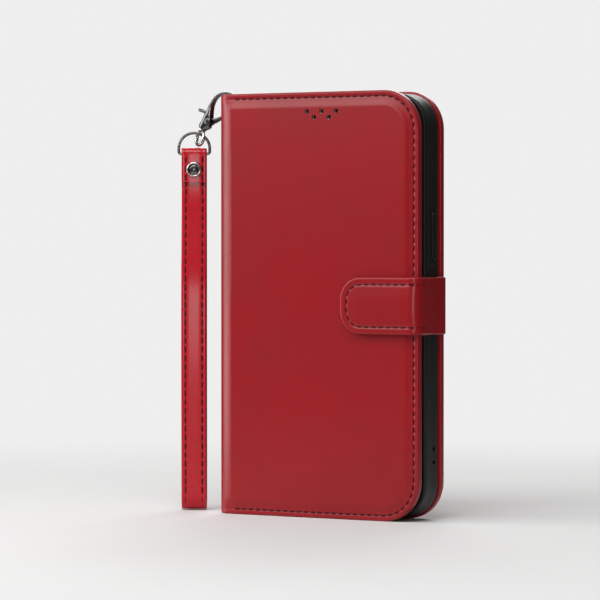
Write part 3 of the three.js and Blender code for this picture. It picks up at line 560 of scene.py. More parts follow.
@dataclass(frozen=True)
class Leather:
    """Coated leather: pebbled grain with finer pores, soft mottling of colour and gloss."""

    name: str
    light: Colour
    dark: Colour
    gloss: Gloss
    grain_mm: float = 0.75
    grain_depth_mm: float = 0.022

    def build(self) -> bpy.types.Material:
        """The material."""
        g = Graph(self.name)
        mottle = g.noise(34, 3).step(0.3, 0.75)
        speck = g.noise(1.6, 4).step(0.4, 0.75)
        grain = g.cells(self.grain_mm)
        pores = g.noise(self.grain_mm * 0.45, 2)
        height = grain * 0.55 + pores * 0.45
        share = mottle * 0.55 + speck * 0.2 + grain * 0.25
        rough, coat = self.gloss.value
        return g.surface(
            Base_Color=g.blend(share, self.light, self.dark),
            Roughness=rough - 0.05 + mottle * 0.05 + pores * 0.07,
            Coat_Weight=coat,
            Coat_Roughness=0.28,
            Specular_IOR_Level=0.32,
            Normal=g.bump(height, self.grain_depth_mm, 0.5),
        )


@dataclass(frozen=True)
class Thread:
    """Waxed sewing thread: fine slanting twist, darker in places."""

    name: str
    light: Colour
    dark: Colour

    def build(self) -> bpy.types.Material:
        """The material."""
        g = Graph(self.name)
        twist = g.node("ShaderNodeTexWave", {"wave_type": "BANDS", "bands_direction": "DIAGONAL"}, {
            "Vector": g.place(), "Scale": 1 / (1.1 * MM), "Distortion": 1.5, "Detail": 1.0})
        wear = g.noise(4, 3)
        return g.surface(
            Base_Color=g.blend(twist * 0.5 + wear * 0.5, self.light, self.dark),
            Roughness=0.5 + wear * 0.2,
            Specular_IOR_Level=0.2,
            Normal=g.bump(twist, 0.05, 0.6),
        )


@dataclass(frozen=True)
class Rubber:
    """Moulded TPU: fine matt spark texture with faint handling marks."""

    name: str
    colour: Colour
    worn: Colour

    def build(self) -> bpy.types.Material:
        """The material."""
        g = Graph(self.name)
        spark = g.noise(0.28, 2)
        marks = g.noise(14, 4).step(0.45, 0.8)
        return g.surface(
            Base_Color=g.blend(marks * 0.6 + spark * 0.3, self.colour, self.worn),
            Roughness=0.4 + marks * 0.12 + spark * 0.06,
            Specular_IOR_Level=0.35,
            Normal=g.bump(spark, 0.012, 0.5),
        )


@dataclass(frozen=True)
class Metal:
    """Polished plated metal: cloudy tarnish and fine hair scratches."""

    name: str
    bright: Colour
    dull: Colour
    roughness: float = 0.16

    def build(self) -> bpy.types.Material:
        """The material."""
        g = Graph(self.name)
        cloud = g.noise(3.2, 4).step(0.35, 0.75)
        scratch = g.noise(0.5, 3, vector=g.stretched((1.0, 0.25, 3.0)))
        return g.surface(
            Base_Color=g.blend(cloud, self.bright, self.dull),
            Metallic=1.0,
            Roughness=self.roughness + cloud * 0.1 + scratch * 0.05,
            Normal=g.bump(scratch, 0.006, 0.4),
        )


@dataclass(frozen=True)
class Fibre:
    """Pressed fibre or foam inside the covers: specks and a rough, open surface."""

    name: str
    light: Colour
    dark: Colour
    size_mm: float

    def build(self) -> bpy.types.Material:
        """The material."""
        g = Graph(self.name)
        speck = g.noise(self.size_mm, 5, 0.7)
        pore = g.cells(self.size_mm * 1.6)
        return g.surface(
            Base_Color=g.blend(speck * 0.7 + pore * 0.3, self.light, self.dark),
            Roughness=0.85 + speck * 0.1,
            Normal=g.bump(pore * 0.6 + speck * 0.4, 0.06, 0.7),
        )


@dataclass(frozen=True)
class Studio:
    """Plain pale paper on the floor, which fades out with distance, in metres."""

    name: str
    light: Colour
    dark: Colour
    fade_from: float = 0.16
    fade_to: float = 0.55

    def build(self) -> bpy.types.Material:
        """The material."""
        g = Graph(self.name)
        cloud = g.noise(180, 2)
        reach = g.node("ShaderNodeVectorMath", {"operation": "LENGTH"}, {0: g.place()}, "Value")
        return g.surface(Base_Color=g.blend(cloud, self.light, self.dark), Roughness=0.9,
                         Alpha=1 - reach.step(self.fade_from, self.fade_to))


LEATHER = Leather("red_cover_leather", srgb(147, 18, 26), srgb(131, 12, 20), Gloss.SATIN)
TAB_LEATHER = Leather("red_tab_leather", srgb(147, 16, 25), srgb(130, 11, 19), Gloss.SATIN)
STRAP_LEATHER = Leather("red_strap_leather", srgb(188, 9, 31), srgb(170, 6, 24), Gloss.POLISHED)
LINING = Leather("red_lining", srgb(134, 24, 32), srgb(112, 16, 24), Gloss.MATT, 0.5, 0.05)
POCKET = Leather("red_pocket_leather", srgb(150, 28, 36), srgb(126, 18, 27), Gloss.SOFT)
THREAD = Thread("dark_red_thread", srgb(84, 9, 19), srgb(42, 3, 9))
TPU = Rubber("black_tpu", srgb(12, 12, 13), srgb(20, 20, 21))
NICKEL = Metal("black_nickel", (0.15, 0.143, 0.138), (0.085, 0.082, 0.08))
# Lighter copy of the dark nickel that the eye, its collar and the rivet's rim are made of: a
# painted highlight on those pieces.
NICKEL_PAINTED_HIGHLIGHT = Metal("nickel_painted_highlight", (0.55, 0.53, 0.51), (0.3, 0.29, 0.28), 0.12)
STEEL = Metal("spring_steel", (0.62, 0.61, 0.60), (0.45, 0.44, 0.43), 0.25)
BOARD = Fibre("grey_board", srgb(165, 157, 142), srgb(118, 110, 98), 0.6)
FOAM = Fibre("white_foam", srgb(226, 222, 210), srgb(196, 190, 176), 0.4)
PAPER = Studio("floor_paper", (0.72, 0.72, 0.715), (0.68, 0.68, 0.675))
MADE: dict[str, bpy.types.Material] = {}
WINDOW_LOW, WINDOW_HIGH = np.array([-1.75, 118.2]), np.array([38.25, 160.2])
WINDOW_CORNER = 9


def dress(obj: bpy.types.Object, finish: object) -> bpy.types.Object:
    """Puts a finish on a piece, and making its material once."""
    if finish.name not in MADE:
        MADE[finish.name] = finish.build()
    obj.data.materials.clear()
    obj.data.materials.append(MADE[finish.name])
    return obj


def dress_node(node: str, finish: object) -> None:
    """Gives a CAD node that stays its finish."""
    dress(frame["nodes"][node], finish)


def stand_in(obj: bpy.types.Object, body: str, finish: object, slot: str,
             *nodes: str) -> bpy.types.Object:
    """Dresses a piece, rides it on a body and hides the CAD nodes that it stands for."""
    dress(obj, finish)
    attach(obj, body)
    if nodes:
        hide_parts(*nodes)
    return obj


# ---- sewn panels --------------------------------------------------------------------------------
@dataclass
class SewnPanel:
    """A skin over a board with three free edges, and a neck that rolls round a fold.

    Its own frame: s runs from the fold to the free end, z up, h out from the face. Lengths are
    in millimetres.
    """

    name: str
    along: int
    facing: int
    fold_x: float
    face_y: float
    low_z: float
    length: float
    height: float
    radius: float
    rim: float
    neck: Array
    neck_rim: float
    border: float
    pad_start: float
    pad_end: float
    inset: float
    pitch: float
    groove: float = 0.16
    edge: float = 0.7
    pad_from_fold: tuple[float, float] = (0.0, 0.01)
    wave: float = 0.03
    skin: float = 0.55

    def world(self, s: Array, z: Array, h: Array) -> Array:
        """Points of the panel's frame in the case's frame."""
        return np.stack([self.fold_x + self.along * s, self.face_y + self.facing * h,
                         self.low_z + z], -1)

    def edge_distance(self, s: Array, z: Array) -> Array:
        """Distance in from the three free edges: a rounded rectangle's, open at the fold."""
        half = self.height / 2
        qs = s - (self.length - self.radius)
        qz = np.abs(z - half) - (half - self.radius)
        return self.radius - np.hypot(np.maximum(qs, 0), np.maximum(qz, 0)) \
            - np.minimum(np.maximum(qs, qz), 0)

    def sunk(self, s: Array, z: Array) -> Array:
        """How far the face lies under its highest level.

        The border is pressed flat, a smooth step lifts the foam within it, the seam lies in a
        shallow groove, and slow waves break the flatness.
        """
        d = self.edge_distance(s, z)
        lifted = smooth_step(d, self.pad_start, self.pad_end) * smooth_step(
            s, *self.pad_from_fold)
        depth = self.border * (1 - lifted)
        depth = depth + self.groove * hump(d, self.inset, 0.5)
        waves = np.sin(s / 11 + 1.3) * np.sin(z / 17 + 0.4) + 0.6 * np.sin(s / 23 - z / 31)
        return depth + self.wave * lifted * (1 - waves * 0.6)

    def rings(self) -> list[tuple[float, float, float]]:
        """Inset, extra depth and share of the rim's depth of each ring, from the turned-in edge."""
        e = self.edge
        out = [(1.6, 0.0, 1.0), (0.9, 0.0, 1.0), (0.3, 0.0, 0.985), (0.08, 0.0, 0.93),
               (0.0, 0.0, 0.84), (0.0, 0.0, 0.6)]
        for angle in (90, 72, 54, 36, 18):
            a = math.radians(angle)
            out.append((e * (1 - math.sin(a)), e * (1 - math.cos(a)), 0.0))
        return out

    def ring_insets(self) -> Array:
        """Insets of the rings over the face, close at the seam and wide in the middle."""
        half = self.height / 2
        near = np.array([0.7, 0.95, 1.25, 1.5, 1.7, 1.9, 2.1, 2.3, 2.5, 2.7, 2.95])
        near = near * self.edge / 0.7 if self.edge > 0.7 else near
        slope = np.linspace(self.pad_start + 0.25, self.pad_end + 0.8, 12)
        slope = slope[slope > near[-1] + 0.1]
        rest = np.linspace(min(slope[-1], half - 1), half, 22 if half > 20 else 8)[1:]
        return np.concatenate([near, slope, rest])

    def outline(self, inset: float) -> Array:
        """Open path of s and z round the three free edges at an inset, always as many points."""
        half = self.height / 2
        inset = min(inset, half)
        end, top = self.length - inset, self.height - inset
        r = min(max(self.radius - inset, 0.25 * self.radius), half - inset, end)
        runs = max(int(self.length / 1.6), 16)
        sides = max(int(self.height / 2.2), 10)
        ease = np.linspace(0, 1, runs, endpoint=False) ** 1.15
        low = np.stack([ease * (end - r), np.full(runs, inset)], -1)
        side = np.stack([np.full(sides, end), np.linspace(inset + r, top - r, sides)], -1)[1:-1]
        turn = arc(end - r, inset + r, r, -90, 0, 16)
        back = turn[::-1] * [1, -1] + [0, self.height]
        return np.vstack([low, turn, side, back, low[::-1] * [1, -1] + [0, self.height]])

    def skin_surface(self) -> bpy.types.Object:
        """The skin: rings over the face and edges, and the neck's section carried up the fold."""
        levels = [(d, extra, share) for d, extra, share in self.rings()]
        levels += [(d, 0.0, 0.0) for d in self.ring_insets()]
        face, low = [], []
        for d, extra, share in levels:
            flat = self.outline(d)
            s, z = flat[:, 0], flat[:, 1]
            on_face = share == 0 and extra == 0
            depth = self.sunk(s, z) if on_face else np.full(len(s), self.border)
            flat_depth = float(depth[0])
            depth = depth + extra
            depth = depth * (1 - share) + share * self.rim if share else depth
            face.append(self.world(s, z, -depth))
            low.append((d, flat_depth, share, extra))
        shell = Surface().grid(np.array(face))
        shell.grid(self.neck_grid(low))
        obj = shell.build(self.name, weld=0.01, outward=False)
        self.turn_out(obj)
        return obj

    def neck_grid(self, low: list[tuple[float, float, float, float]]) -> Array:
        """The neck: its section in s and h, at every ring's height from the low edge to the top.

        A point lies on the section, moved in along the section's normal by the face's depth at
        the fold, which fades along the neck, or by the rim's own depth there.
        """
        section = np.vstack([[[0.0, 0.0]], self.neck])
        t = directions(section)
        normal = np.stack([t[:, 1], -t[:, 0]], -1)
        normal[0] = [0, 1]
        run = np.concatenate([[0], np.cumsum(np.linalg.norm(np.diff(section, axis=0), axis=1))])
        fade = 1 - smooth_step(run, 0, run[-1] * 0.35)
        thick = self.neck_rim + (self.rim - self.neck_rim) * (1 - smooth_step(run, 0, 5))
        rows_low, rows_high = [], []
        for d, flat, share, extra in low:
            sink = share * thick + (1 - share) * (fade * flat + extra)
            s = section[:, 0] - normal[:, 0] * sink
            h = section[:, 1] - normal[:, 1] * sink
            d = min(d, self.height / 2)
            rows_low.append(self.world(s, np.full(len(s), d), h))
            rows_high.append(self.world(s, np.full(len(s), self.height - d), h))
        return np.array(rows_low + rows_high[::-1][1:])

    def turn_out(self, obj: bpy.types.Object) -> None:
        """Makes the skin's faces agree and point away from the board."""
        work = bmesh.new()
        work.from_mesh(obj.data)
        bmesh.ops.recalc_face_normals(work, faces=work.faces)
        work.faces.ensure_lookup_table()
        middle = self.world(*(np.array([v]) for v in (self.length / 2, self.height / 2, 0)))[0]
        near = min(work.faces, key=lambda f: (f.calc_center_median() - Vector(middle * MM)).length)
        if near.normal.y * self.facing < 0:
            bmesh.ops.reverse_faces(work, faces=work.faces)
        work.to_mesh(obj.data)
        work.free()

    def neck_stitches(self, name: str, share: float, width: float,
                      rise: float) -> bpy.types.Object:
        """Stitches that carry both seams on round the fold, along a share of the neck."""
        section = np.vstack([[[0.0, 0.0]], self.neck])
        points = resample(section, self.pitch)
        t = directions(points)
        normal = np.stack([t[:, 1], -t[:, 0]], -1)
        normal[0] = [0, 1]
        count = max(int(len(points) * share), 2)
        edge = points - normal * 0.06
        a, b, n = edge[:count], edge[1:count + 1], normal[:count]
        gap = (b - a) * 0.1
        a, b = a + gap, b - gap
        surface = Surface()
        out = np.stack([self.along * n[:, 0], self.facing * n[:, 1], 0 * n[:, 0]], -1)
        for z in (self.inset, self.height - self.inset):
            first, last = (self.world(q[:, 0], np.full(count, z), q[:, 1]) for q in (a, b))
            stitch_row(surface, first, last, out, width, rise)
        return surface.build(name, weld=0)

    def stitches(self, name: str, start: float, width: float = 0.42,
                 rise: float = 0.22) -> bpy.types.Object:
        """A thread's stitches along the three free edges at the seam's inset."""
        path = self.outline(self.inset)
        path = path[path[:, 0] >= start]
        points = resample(path, self.pitch)
        a, b = points[:-1], points[1:]
        gap = (b - a) * 0.1
        a, b = a + gap, b - gap
        lift = np.stack([np.zeros(len(a)), np.full(len(a), self.facing), np.zeros(len(a))], -1)
        surface = Surface()
        first = self.world(a[:, 0], a[:, 1], -self.sunk(a[:, 0], a[:, 1]) + 0.02)
        last = self.world(b[:, 0], b[:, 1], -self.sunk(b[:, 0], b[:, 1]) + 0.02)
        stitch_row(surface, first, last, lift.astype(float), width, rise)
        return surface.build(name, weld=0)


def joint(name: str) -> tuple[Array, Array]:
    """A joint's place in millimetres and its axis."""
    found = next(j for j in frame["joints"] if j["name"] == name)
    return np.array(found["pos_m"]) / MM, np.array(found["axis"], float)


def prism(name: str, low: Sequence[float], high: Sequence[float], radius: float,
          start: float, end: float, order: tuple[int, int, int] = (0, 1, 2)) -> bpy.types.Object:
    """Straight-sided closed shape with rounded corners, used to cut openings."""
    middle = min(high[0] - low[0], high[1] - low[1]) / 2
    profile = [(middle, start), (0, start), (0, end), (middle, end)]
    return rounded_plate(name, low, high, (radius, radius), profile, order=order,
                         corner=8, run=3, side=3)


def ribbon(name: str, path: Array, thickness: float, low: float, high: float) -> bpy.types.Object:
    """Upright strip: a line in X and Y given a thickness, its top and bottom edges rounded.

    At height z the half thickness is t/2 times sqrt(1 - (1 - e/r)^2) within r of an end.

    Args:
        name: the object's name.
        path: points of the middle line in X and Y.
        thickness: the strip's thickness.
        low: bottom edge.
        high: top edge.
    Returns:
        The strip.
    """
    t = directions(path)
    side = np.stack([t[:, 1], -t[:, 0]], -1)
    caps = np.array([0, 0.06, 0.2, 0.45, 0.75, 1.0])
    rise = caps * thickness / 2
    z = np.concatenate([low + rise, np.linspace(low + 1, high - 1, 24), high - rise[::-1]])
    share = np.sqrt(np.clip(1 - (1 - caps) ** 2, 0, 1))
    share = np.concatenate([share, np.ones(24), share[::-1]])[:, None, None]
    outer = path[None] + side[None] * share * thickness / 2
    inner = path[None] - side[None] * share * thickness / 2
    loop = np.concatenate([outer, inner[:, ::-1]], axis=1)
    tall = np.broadcast_to(z[:, None, None], (*loop.shape[:2], 1))
    grid = np.concatenate([loop, tall], -1)
    return Surface().grid(grid, close_cols=True).build(name)


def plate_seam(name: str, low: Sequence[float], high: Sequence[float], radii: tuple[float, float],
               inset: float, y: float, facing: int, pitch: float,
               keep: float = -1e9) -> bpy.types.Object:
    """Stitches round a flat plate at an inset, left out where x is under keep."""
    path = loop_points(low, high, radii, inset)
    path = np.vstack([path, path[:1]])
    points = resample(path, pitch)
    a, b = points[:-1], points[1:]
    chosen = (a[:, 0] > keep) & (b[:, 0] > keep)
    a, b = a[chosen], b[chosen]
    gap = (b - a) * 0.12
    ends = [np.stack([q[:, 0], np.full(len(q), y), q[:, 1]], -1) for q in (a + gap, b - gap)]
    out = np.tile([0.0, facing, 0.0], (len(a), 1))
    surface = Surface()
    stitch_row(surface, ends[0], ends[1], out, 0.4, 0.18)
    return surface.build(name, weld=0)


# ---- covers -------------------------------------------------------------------------------------
@dataclass
class Covers:
    """The two covers: padded skins that roll round the spine, seams, linings and pockets."""

    roll_width: float = 7.2
    roll_depth: float = 4.4
    roll_start_deg: float = 20.0
    spine_proud: float = 1.65
    turn_inset: float = 1.85
    seam_inset: float = 2.2
    seam_pitch: float = 3.2
    spine_wall: float = 2.9
    front_corner: float = 15.7
    back_corner: float = 15.0
    front_rim_over: float = 0.65
    back_rim_over: float = 0.05
    turn_from: float = 0.4
    turn_to: float = 4.0
    thread_start: float = 0.4
    thread_width: float = 0.72
    thread_rise: float = 0.26
    hole: float = 1.0
    hole_drop: float = 7.7
    hole_step: float = 6.7
    hole_rows: float = 2.3
    hole_middle: float = 2.0
    pocket_seam: float = 1.4

    def sizes(self) -> None:
        """Reads where the covers' parts lie."""
        self.front_low, self.front_high = box_mm("front_leather")
        self.back_low, self.back_high = box_mm("back_leather")
        self.spine_low, self.spine_high = box_mm("spine_leather")
        self.outer_x = self.spine_low[0] - self.spine_proud
        self.fold_x = self.outer_x + self.roll_width
        self.turn_x = self.spine_low[0] + self.turn_inset
        self.mid_spine = (self.spine_low[1] + self.spine_high[1]) / 2
        self.height = self.front_high[2] - self.front_low[2]
        self.length = self.front_high[0] - self.fold_x

    def neck(self, outer_y: float) -> Array:
        """Section of the fold: part of an ellipse, then straight down the spine to its middle.

        The ellipse is taken up at an angle, so the face breaks softly where the roll begins.
        """
        reach = abs(outer_y - self.mid_spine)
        start = math.radians(self.roll_start_deg)
        t = np.linspace(start, np.pi / 2, 18)[1:]
        wide = self.roll_width / (1 - math.sin(start))
        deep = self.roll_depth / math.cos(start)
        bend = np.stack([-wide * (np.sin(t) - math.sin(start)),
                         -deep * (math.cos(start) - np.cos(t))], -1)
        down = np.linspace(self.roll_depth, reach, 9)[1:]
        return np.vstack([bend, np.stack([np.full(8, -self.roll_width), -down], -1)])

    def panel(self, name: str, facing: int, face_y: float, radius: float,
              rim: float) -> SewnPanel:
        """A cover's skin."""
        return SewnPanel(
            name=name, along=1, facing=facing, fold_x=self.fold_x, face_y=face_y, low_z=0.0,
            length=self.length, height=self.height, radius=radius, rim=rim,
            neck=self.neck(face_y), neck_rim=self.spine_wall, border=0.56, pad_start=2.9,
            pad_end=6.2, inset=self.seam_inset, pitch=self.seam_pitch,
            pad_from_fold=(-9.0, -3.0), groove=0.2)

    def hole_places(self) -> list[tuple[float, float]]:
        """Middles of the five earpiece holes, three over two, in x and z."""
        x, step = self.hole_middle, self.hole_step
        top = self.height - self.hole_drop
        low = top - self.hole_rows
        over = [(x - step, top), (x, top), (x + step, top)]
        return over + [(x - step / 2, low), (x + step / 2, low)]

    def hole_shade_plugs(self, face: float) -> None:
        """Dark plugs set deep in the earpiece holes, a little dished: painted shade inside the
        holes.
        """
        surface = Surface()
        angle = np.linspace(0, 2 * np.pi, 20, endpoint=False)
        profile = np.array([(0, 1.5), (0.5, 1.45), (0.9, 1.35), (1.0, 1.2), (1.0, 2.6), (0, 2.6)])
        for x, z in self.hole_places():
            r, y = profile[:, :1], profile[:, 1:]
            surface.grid(np.stack([x + r * np.cos(angle), face + y + 0 * angle,
                                   z + r * np.sin(angle)], -1), close_cols=True)
        # Black plugs stand for the shade inside the through holes: painted shade.
        stand_in(surface.build("earpiece_painted_shade"), "front_cover", TPU, "shell_tpu")

    def holes(self, y0: float, y1: float) -> list[bpy.types.Object]:
        """Cutters for the earpiece holes, between two depths."""
        profile = [(0, y0), (self.hole, y0), (self.hole, y1), (0, y1)]
        return [lathe(f"hole_{i}", profile, (x, 0, z), (0, 1, 0), 24)
                for i, (x, z) in enumerate(self.hole_places())]

    def front(self) -> None:
        """Front skin, its stitches, and what is within it."""
        face = self.front_low[1]
        rim = self.front_high[1] - face + self.front_rim_over
        panel = self.panel("front_skin", -1, face, self.front_corner, rim)
        skin = thicken(panel.skin_surface(), panel.skin)
        punch(skin, self.holes(self.front_high[1] + 3, face - 3))
        dress(skin, LEATHER)
        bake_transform(skin)
        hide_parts("front_leather")
        self.hole_shade_plugs(face)
        thread = panel.stitches("front_stitches", self.thread_start, self.thread_width,
                                self.thread_rise)
        stand_in(thread, "front_cover", THREAD, "thread", "front_thread")
        dress_node("front_foam", FOAM)
        dress_node("front_board", BOARD)
        dress_node("front_magnet", STEEL)

    def back(self) -> None:
        """Back skin with its camera window, stitches, and what is within it."""
        face = self.back_high[1]
        rim = face - self.back_low[1] + self.back_rim_over
        panel = self.panel("back_skin", 1, face, self.back_corner, rim)
        skin = thicken(panel.skin_surface(), panel.skin)
        punch(skin, [prism("window", WINDOW_LOW - 0.3, WINDOW_HIGH + 0.3, WINDOW_CORNER + 0.3,
                           face + 3, face - 8)])
        dress(skin, LEATHER)
        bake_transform(skin)
        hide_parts("back_leather", "spine_leather")
        thread = panel.stitches("back_stitches", self.thread_start, self.thread_width,
                                self.thread_rise)
        stand_in(thread, "root", THREAD, "thread", "back_thread")
        self.collar(face)
        dress_node("back_foam", FOAM)
        dress_node("back_board", BOARD)

    def collar(self, face: float) -> None:
        """Turned-in leather round the camera window: a hooked section carried round the window."""
        section = [(1.7, face - 0.55), (1.5, face - 0.1), (1.0, face + 0.02), (0.4, face - 0.04),
                   (0.08, face - 0.3), (0.0, face - 0.8), (0.0, -1.8), (0.1, -2.05),
                   (0.4, -2.14), (0.9, -2.13), (1.0, -1.9), (0.8, face - 0.9)]
        rings, radii = [], (WINDOW_CORNER, WINDOW_CORNER)
        for out, y in section:
            flat = loop_points(WINDOW_LOW, WINDOW_HIGH, radii, -out, corner=14, run=12, side=12)
            rings.append(np.stack([flat[:, 0], np.full(len(flat), y), flat[:, 1]], -1))
        ring = Surface().grid(np.array(rings), close_rows=True, close_cols=True)
        stand_in(ring.build("window_collar"), "root", LEATHER, "cover_leather")
        seam = plate_seam("window_stitches", WINDOW_LOW, WINDOW_HIGH, radii, -2.8,
                          face - 0.02, 1, self.seam_pitch)
        stand_in(seam, "root", THREAD, "thread")

    def sheet_profile(self, y0: float, y1: float, reach: float) -> list[tuple[float, float]]:
        """Section of a thin sheet from the middle of one face, round its edge, to the other's."""
        m, e = (y0 + y1) / 2, 0.12 if y1 > y0 else -0.12
        face = [(reach * k, 0) for k in (1, 0.6, 0.3, 0.12, 0.04)]
        rows = [(i, y0) for i, _ in face] + [(0.3, y0), (0.08, y0 + e), (0, m), (0.08, y1 - e)]
        return rows + [(0.3, y1)] + [(i, y1) for i, _ in face[::-1]]

    def linings(self) -> None:
        """Linings of both covers and of the spine."""
        low, high = box_mm("front_lining")
        flat_low, flat_high = low[[0, 2]], high[[0, 2]]
        reach = (high[0] - low[0]) / 2
        profile = self.sheet_profile(low[1], high[1], reach)
        plate = rounded_plate("front_lining_sheet", flat_low, flat_high, (1, 14.7), profile)
        punch(plate, self.holes(high[1] + 2, low[1] - 2))
        stand_in(plate, "front_cover", LINING, "lining", "front_lining")
        low, high = box_mm("back_lining")
        profile = self.sheet_profile(low[1], high[1], reach)
        plate = rounded_plate("back_lining_sheet", low[[0, 2]], high[[0, 2]], (1, 14), profile)
        punch(plate, [prism("window", WINDOW_LOW, WINDOW_HIGH, WINDOW_CORNER,
                            high[1] + 2, low[1] - 2)])
        stand_in(plate, "root", LINING, "lining", "back_lining")
        self.spine_linings()

    def spine_linings(self) -> None:
        """Lining that rolls from each cover's inner face round the fold to the spine's middle."""
        low, high = box_mm("spine_lining")
        x = (low[0] + high[0]) / 2
        front_in = box_mm("front_lining")[1][1] - 0.3
        back_in = box_mm("back_lining")[0][1] + 0.3
        halves = (("front_spine_lining", front_in, 1, ("front_cover", "spine")),
                  ("back_spine_lining", back_in, -1, ("spine", "root")))
        for name, inner, side, pair in halves:
            bend = arc(x + 2.2, inner + side * 2.2, 2.2, -90 * side, -90 * side - 90 * side, 10)
            lead = np.array([[self.turn_x + 1.2, inner], [self.turn_x + 0.4, inner]])
            down = np.linspace(bend[-1][1], self.mid_spine, 9)[1:]
            path = np.vstack([lead, bend, np.stack([np.full(8, x), down], -1)])
            strip = ribbon(name, path, 0.5, low[2], high[2])
            dress(strip, LINING)
            on_cover = (self.turn_x * MM, inner * MM, 0)
            on_spine = (x * MM, (inner + side * 2.2) * MM, 0)
            start, end = (on_cover, on_spine) if side > 0 else (on_spine, on_cover)
            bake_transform(strip)
            if side > 0:
                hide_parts("spine_lining")

    def pockets(self) -> None:
        """Cash pocket and card pockets, sewn on three edges with a turned mouth."""
        for node in ("cash_pocket", "card_pocket_1", "card_pocket_2", "card_pocket_3"):
            low, high = box_mm(node)
            reach = min(high[0] - low[0], high[2] - low[2]) / 2
            profile = self.sheet_profile(low[1], high[1], reach)
            flat_low, flat_high = low[[0, 2]], high[[0, 2]]
            plate = rounded_plate(node + "_sheet", flat_low, flat_high, (1, 2), profile)
            stand_in(plate, "front_cover", POCKET, "pocket_leather", node)
            if node in ("cash_pocket", "card_pocket_3"):
                seam = plate_seam(node + "_stitches", flat_low, flat_high, (1, 2),
                                  self.pocket_seam, high[1] - 0.05, 1, self.seam_pitch,
                                  keep=low[0] + 2.0)
                stand_in(seam, "front_cover", THREAD, "thread")

    def build(self) -> None:
        """Everything on the covers."""
        self.sizes()
        self.front()
        LOG.info("front cover")
        self.back()
        LOG.info("back cover")
        self.linings()
        self.pockets()
        LOG.info("linings and pockets")


# ---- closing tab --------------------------------------------------------------------------------
@dataclass
class ClosingTab:
    """The magnetic tab: a padded flap with a round end, and the web that hinges it."""

    bend: float = 4.8
    web_proud: float = 0.6
    end_radius: float = 9.0
    seam_inset: float = 2.9
    seam_pitch: float = 3.3
    stiffener_short: float = 3.2
    turn_from: float = 4.6
    turn_to: float = 0.6
    thread_width: float = 0.66
    thread_rise: float = 0.24

    def build(self) -> None:
        """The flap's skin, its stitches and lining, and the back half of the web."""
        low, high = box_mm("tab_flap_leather")
        web_low, web_high = box_mm("tab_web_leather")
        lining_low, lining_high = box_mm("tab_flap_lining")
        face, outer_x = low[1], web_high[0] + self.web_proud
        middle = (web_low[1] + web_high[1]) / 2
        fold_x = outer_x - self.bend
        reach = middle - face
        bend = arc(0, -self.bend, self.bend, 90, 180, 15)[1:]
        down = np.linspace(self.bend, reach, 7)[1:]
        neck = np.vstack([bend, np.stack([np.full(6, -self.bend), -down], -1)])
        panel = SewnPanel(
            name="tab_skin", along=-1, facing=-1, fold_x=fold_x, face_y=face, low_z=low[2],
            length=fold_x - low[0], height=high[2] - low[2], radius=self.end_radius,
            rim=lining_high[1] - face, neck=neck, neck_rim=1.0, border=0.22, pad_start=3.2,
            pad_end=8.5, inset=self.seam_inset, pitch=self.seam_pitch, groove=0.2, edge=0.8,
            pad_from_fold=(-9.0, -3.0), wave=0.02, skin=0.5)
        skin = thicken(panel.skin_surface(), panel.skin)
        dress(skin, TAB_LEATHER)
        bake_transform(skin)
        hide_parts("tab_flap_leather", "tab_web_leather")
        thread = panel.stitches("tab_stitches", 0.3, self.thread_width, self.thread_rise)
        stand_in(thread, "tab_flap", THREAD, "thread")
        round_bend = panel.neck_stitches("tab_bend_stitches", 0.62, self.thread_width,
                                         self.thread_rise)
        dress(round_bend, THREAD)
        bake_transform(round_bend)
        reach = (high[2] - low[2]) / 2
        e = 0.3
        profile = [(reach, lining_low[1]), (reach * 0.5, lining_low[1]), (e, lining_low[1]),
                   (0.1, lining_low[1] + 0.2), (0.1, lining_high[1] - 0.25),
                   (e, lining_high[1]), (reach * 0.5, lining_high[1]), (reach, lining_high[1])]
        plate = rounded_plate("tab_lining_sheet", low[[0, 2]] + 0.35, high[[0, 2]] - 0.35,
                              (self.end_radius - 0.35, 0.6), profile)
        stand_in(plate, "tab_flap", LINING, "lining", "tab_flap_lining")
        self.web(web_low, web_high, middle)
        self.stiffener()
        dress_node("tab_magnet", STEEL)

    def stiffener(self) -> None:
        """Board within the flap, which ends short of the bend."""
        low, high = box_mm("tab_stiffener")
        high[0] -= self.stiffener_short
        reach, middle = (high[2] - low[2]) / 2, (low[1] + high[1]) / 2
        profile = [(reach, low[1]), (reach / 2, low[1]), (0.1, low[1]), (0, middle),
                   (0.1, high[1]), (reach / 2, high[1]), (reach, high[1])]
        plate = rounded_plate("tab_board", low[[0, 2]], high[[0, 2]],
                              (self.end_radius - 1.1, 0.4), profile)
        stand_in(plate, "tab_flap", BOARD, "board", "tab_stiffener")

    def web(self, low: Array, high: Array, middle: float) -> None:
        """Back half of the web, which turns in between the back cover's board and lining."""
        inner = box_mm("tab_web_lining")[0][0]
        anchor_low, anchor_high = box_mm("tab_anchor")
        x = (inner + high[0]) / 2
        wall = high[0] - inner - 0.04
        y = (anchor_low[1] + anchor_high[1]) / 2
        x += self.web_proud
        knots = [(x, middle + 0.02), (x + 0.15, middle + 3.0), (x + 0.55, y - 4.2),
                 (x + 0.75, y - 2.2), (x + 0.25, y - 0.75), (x - 0.9, y - 0.15), (x - 2.1, y),
                 (x - 4.5, y), (anchor_low[0] + 6, y)]
        path = catmull(knots, 6)
        strip = ribbon("tab_web_strip", path, wall, anchor_low[2], anchor_high[2])
        dress(strip, TAB_LEATHER)
        (x - 1.8) * MM
        x * MM
        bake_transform(strip)
        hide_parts("tab_anchor", "tab_web_lining")


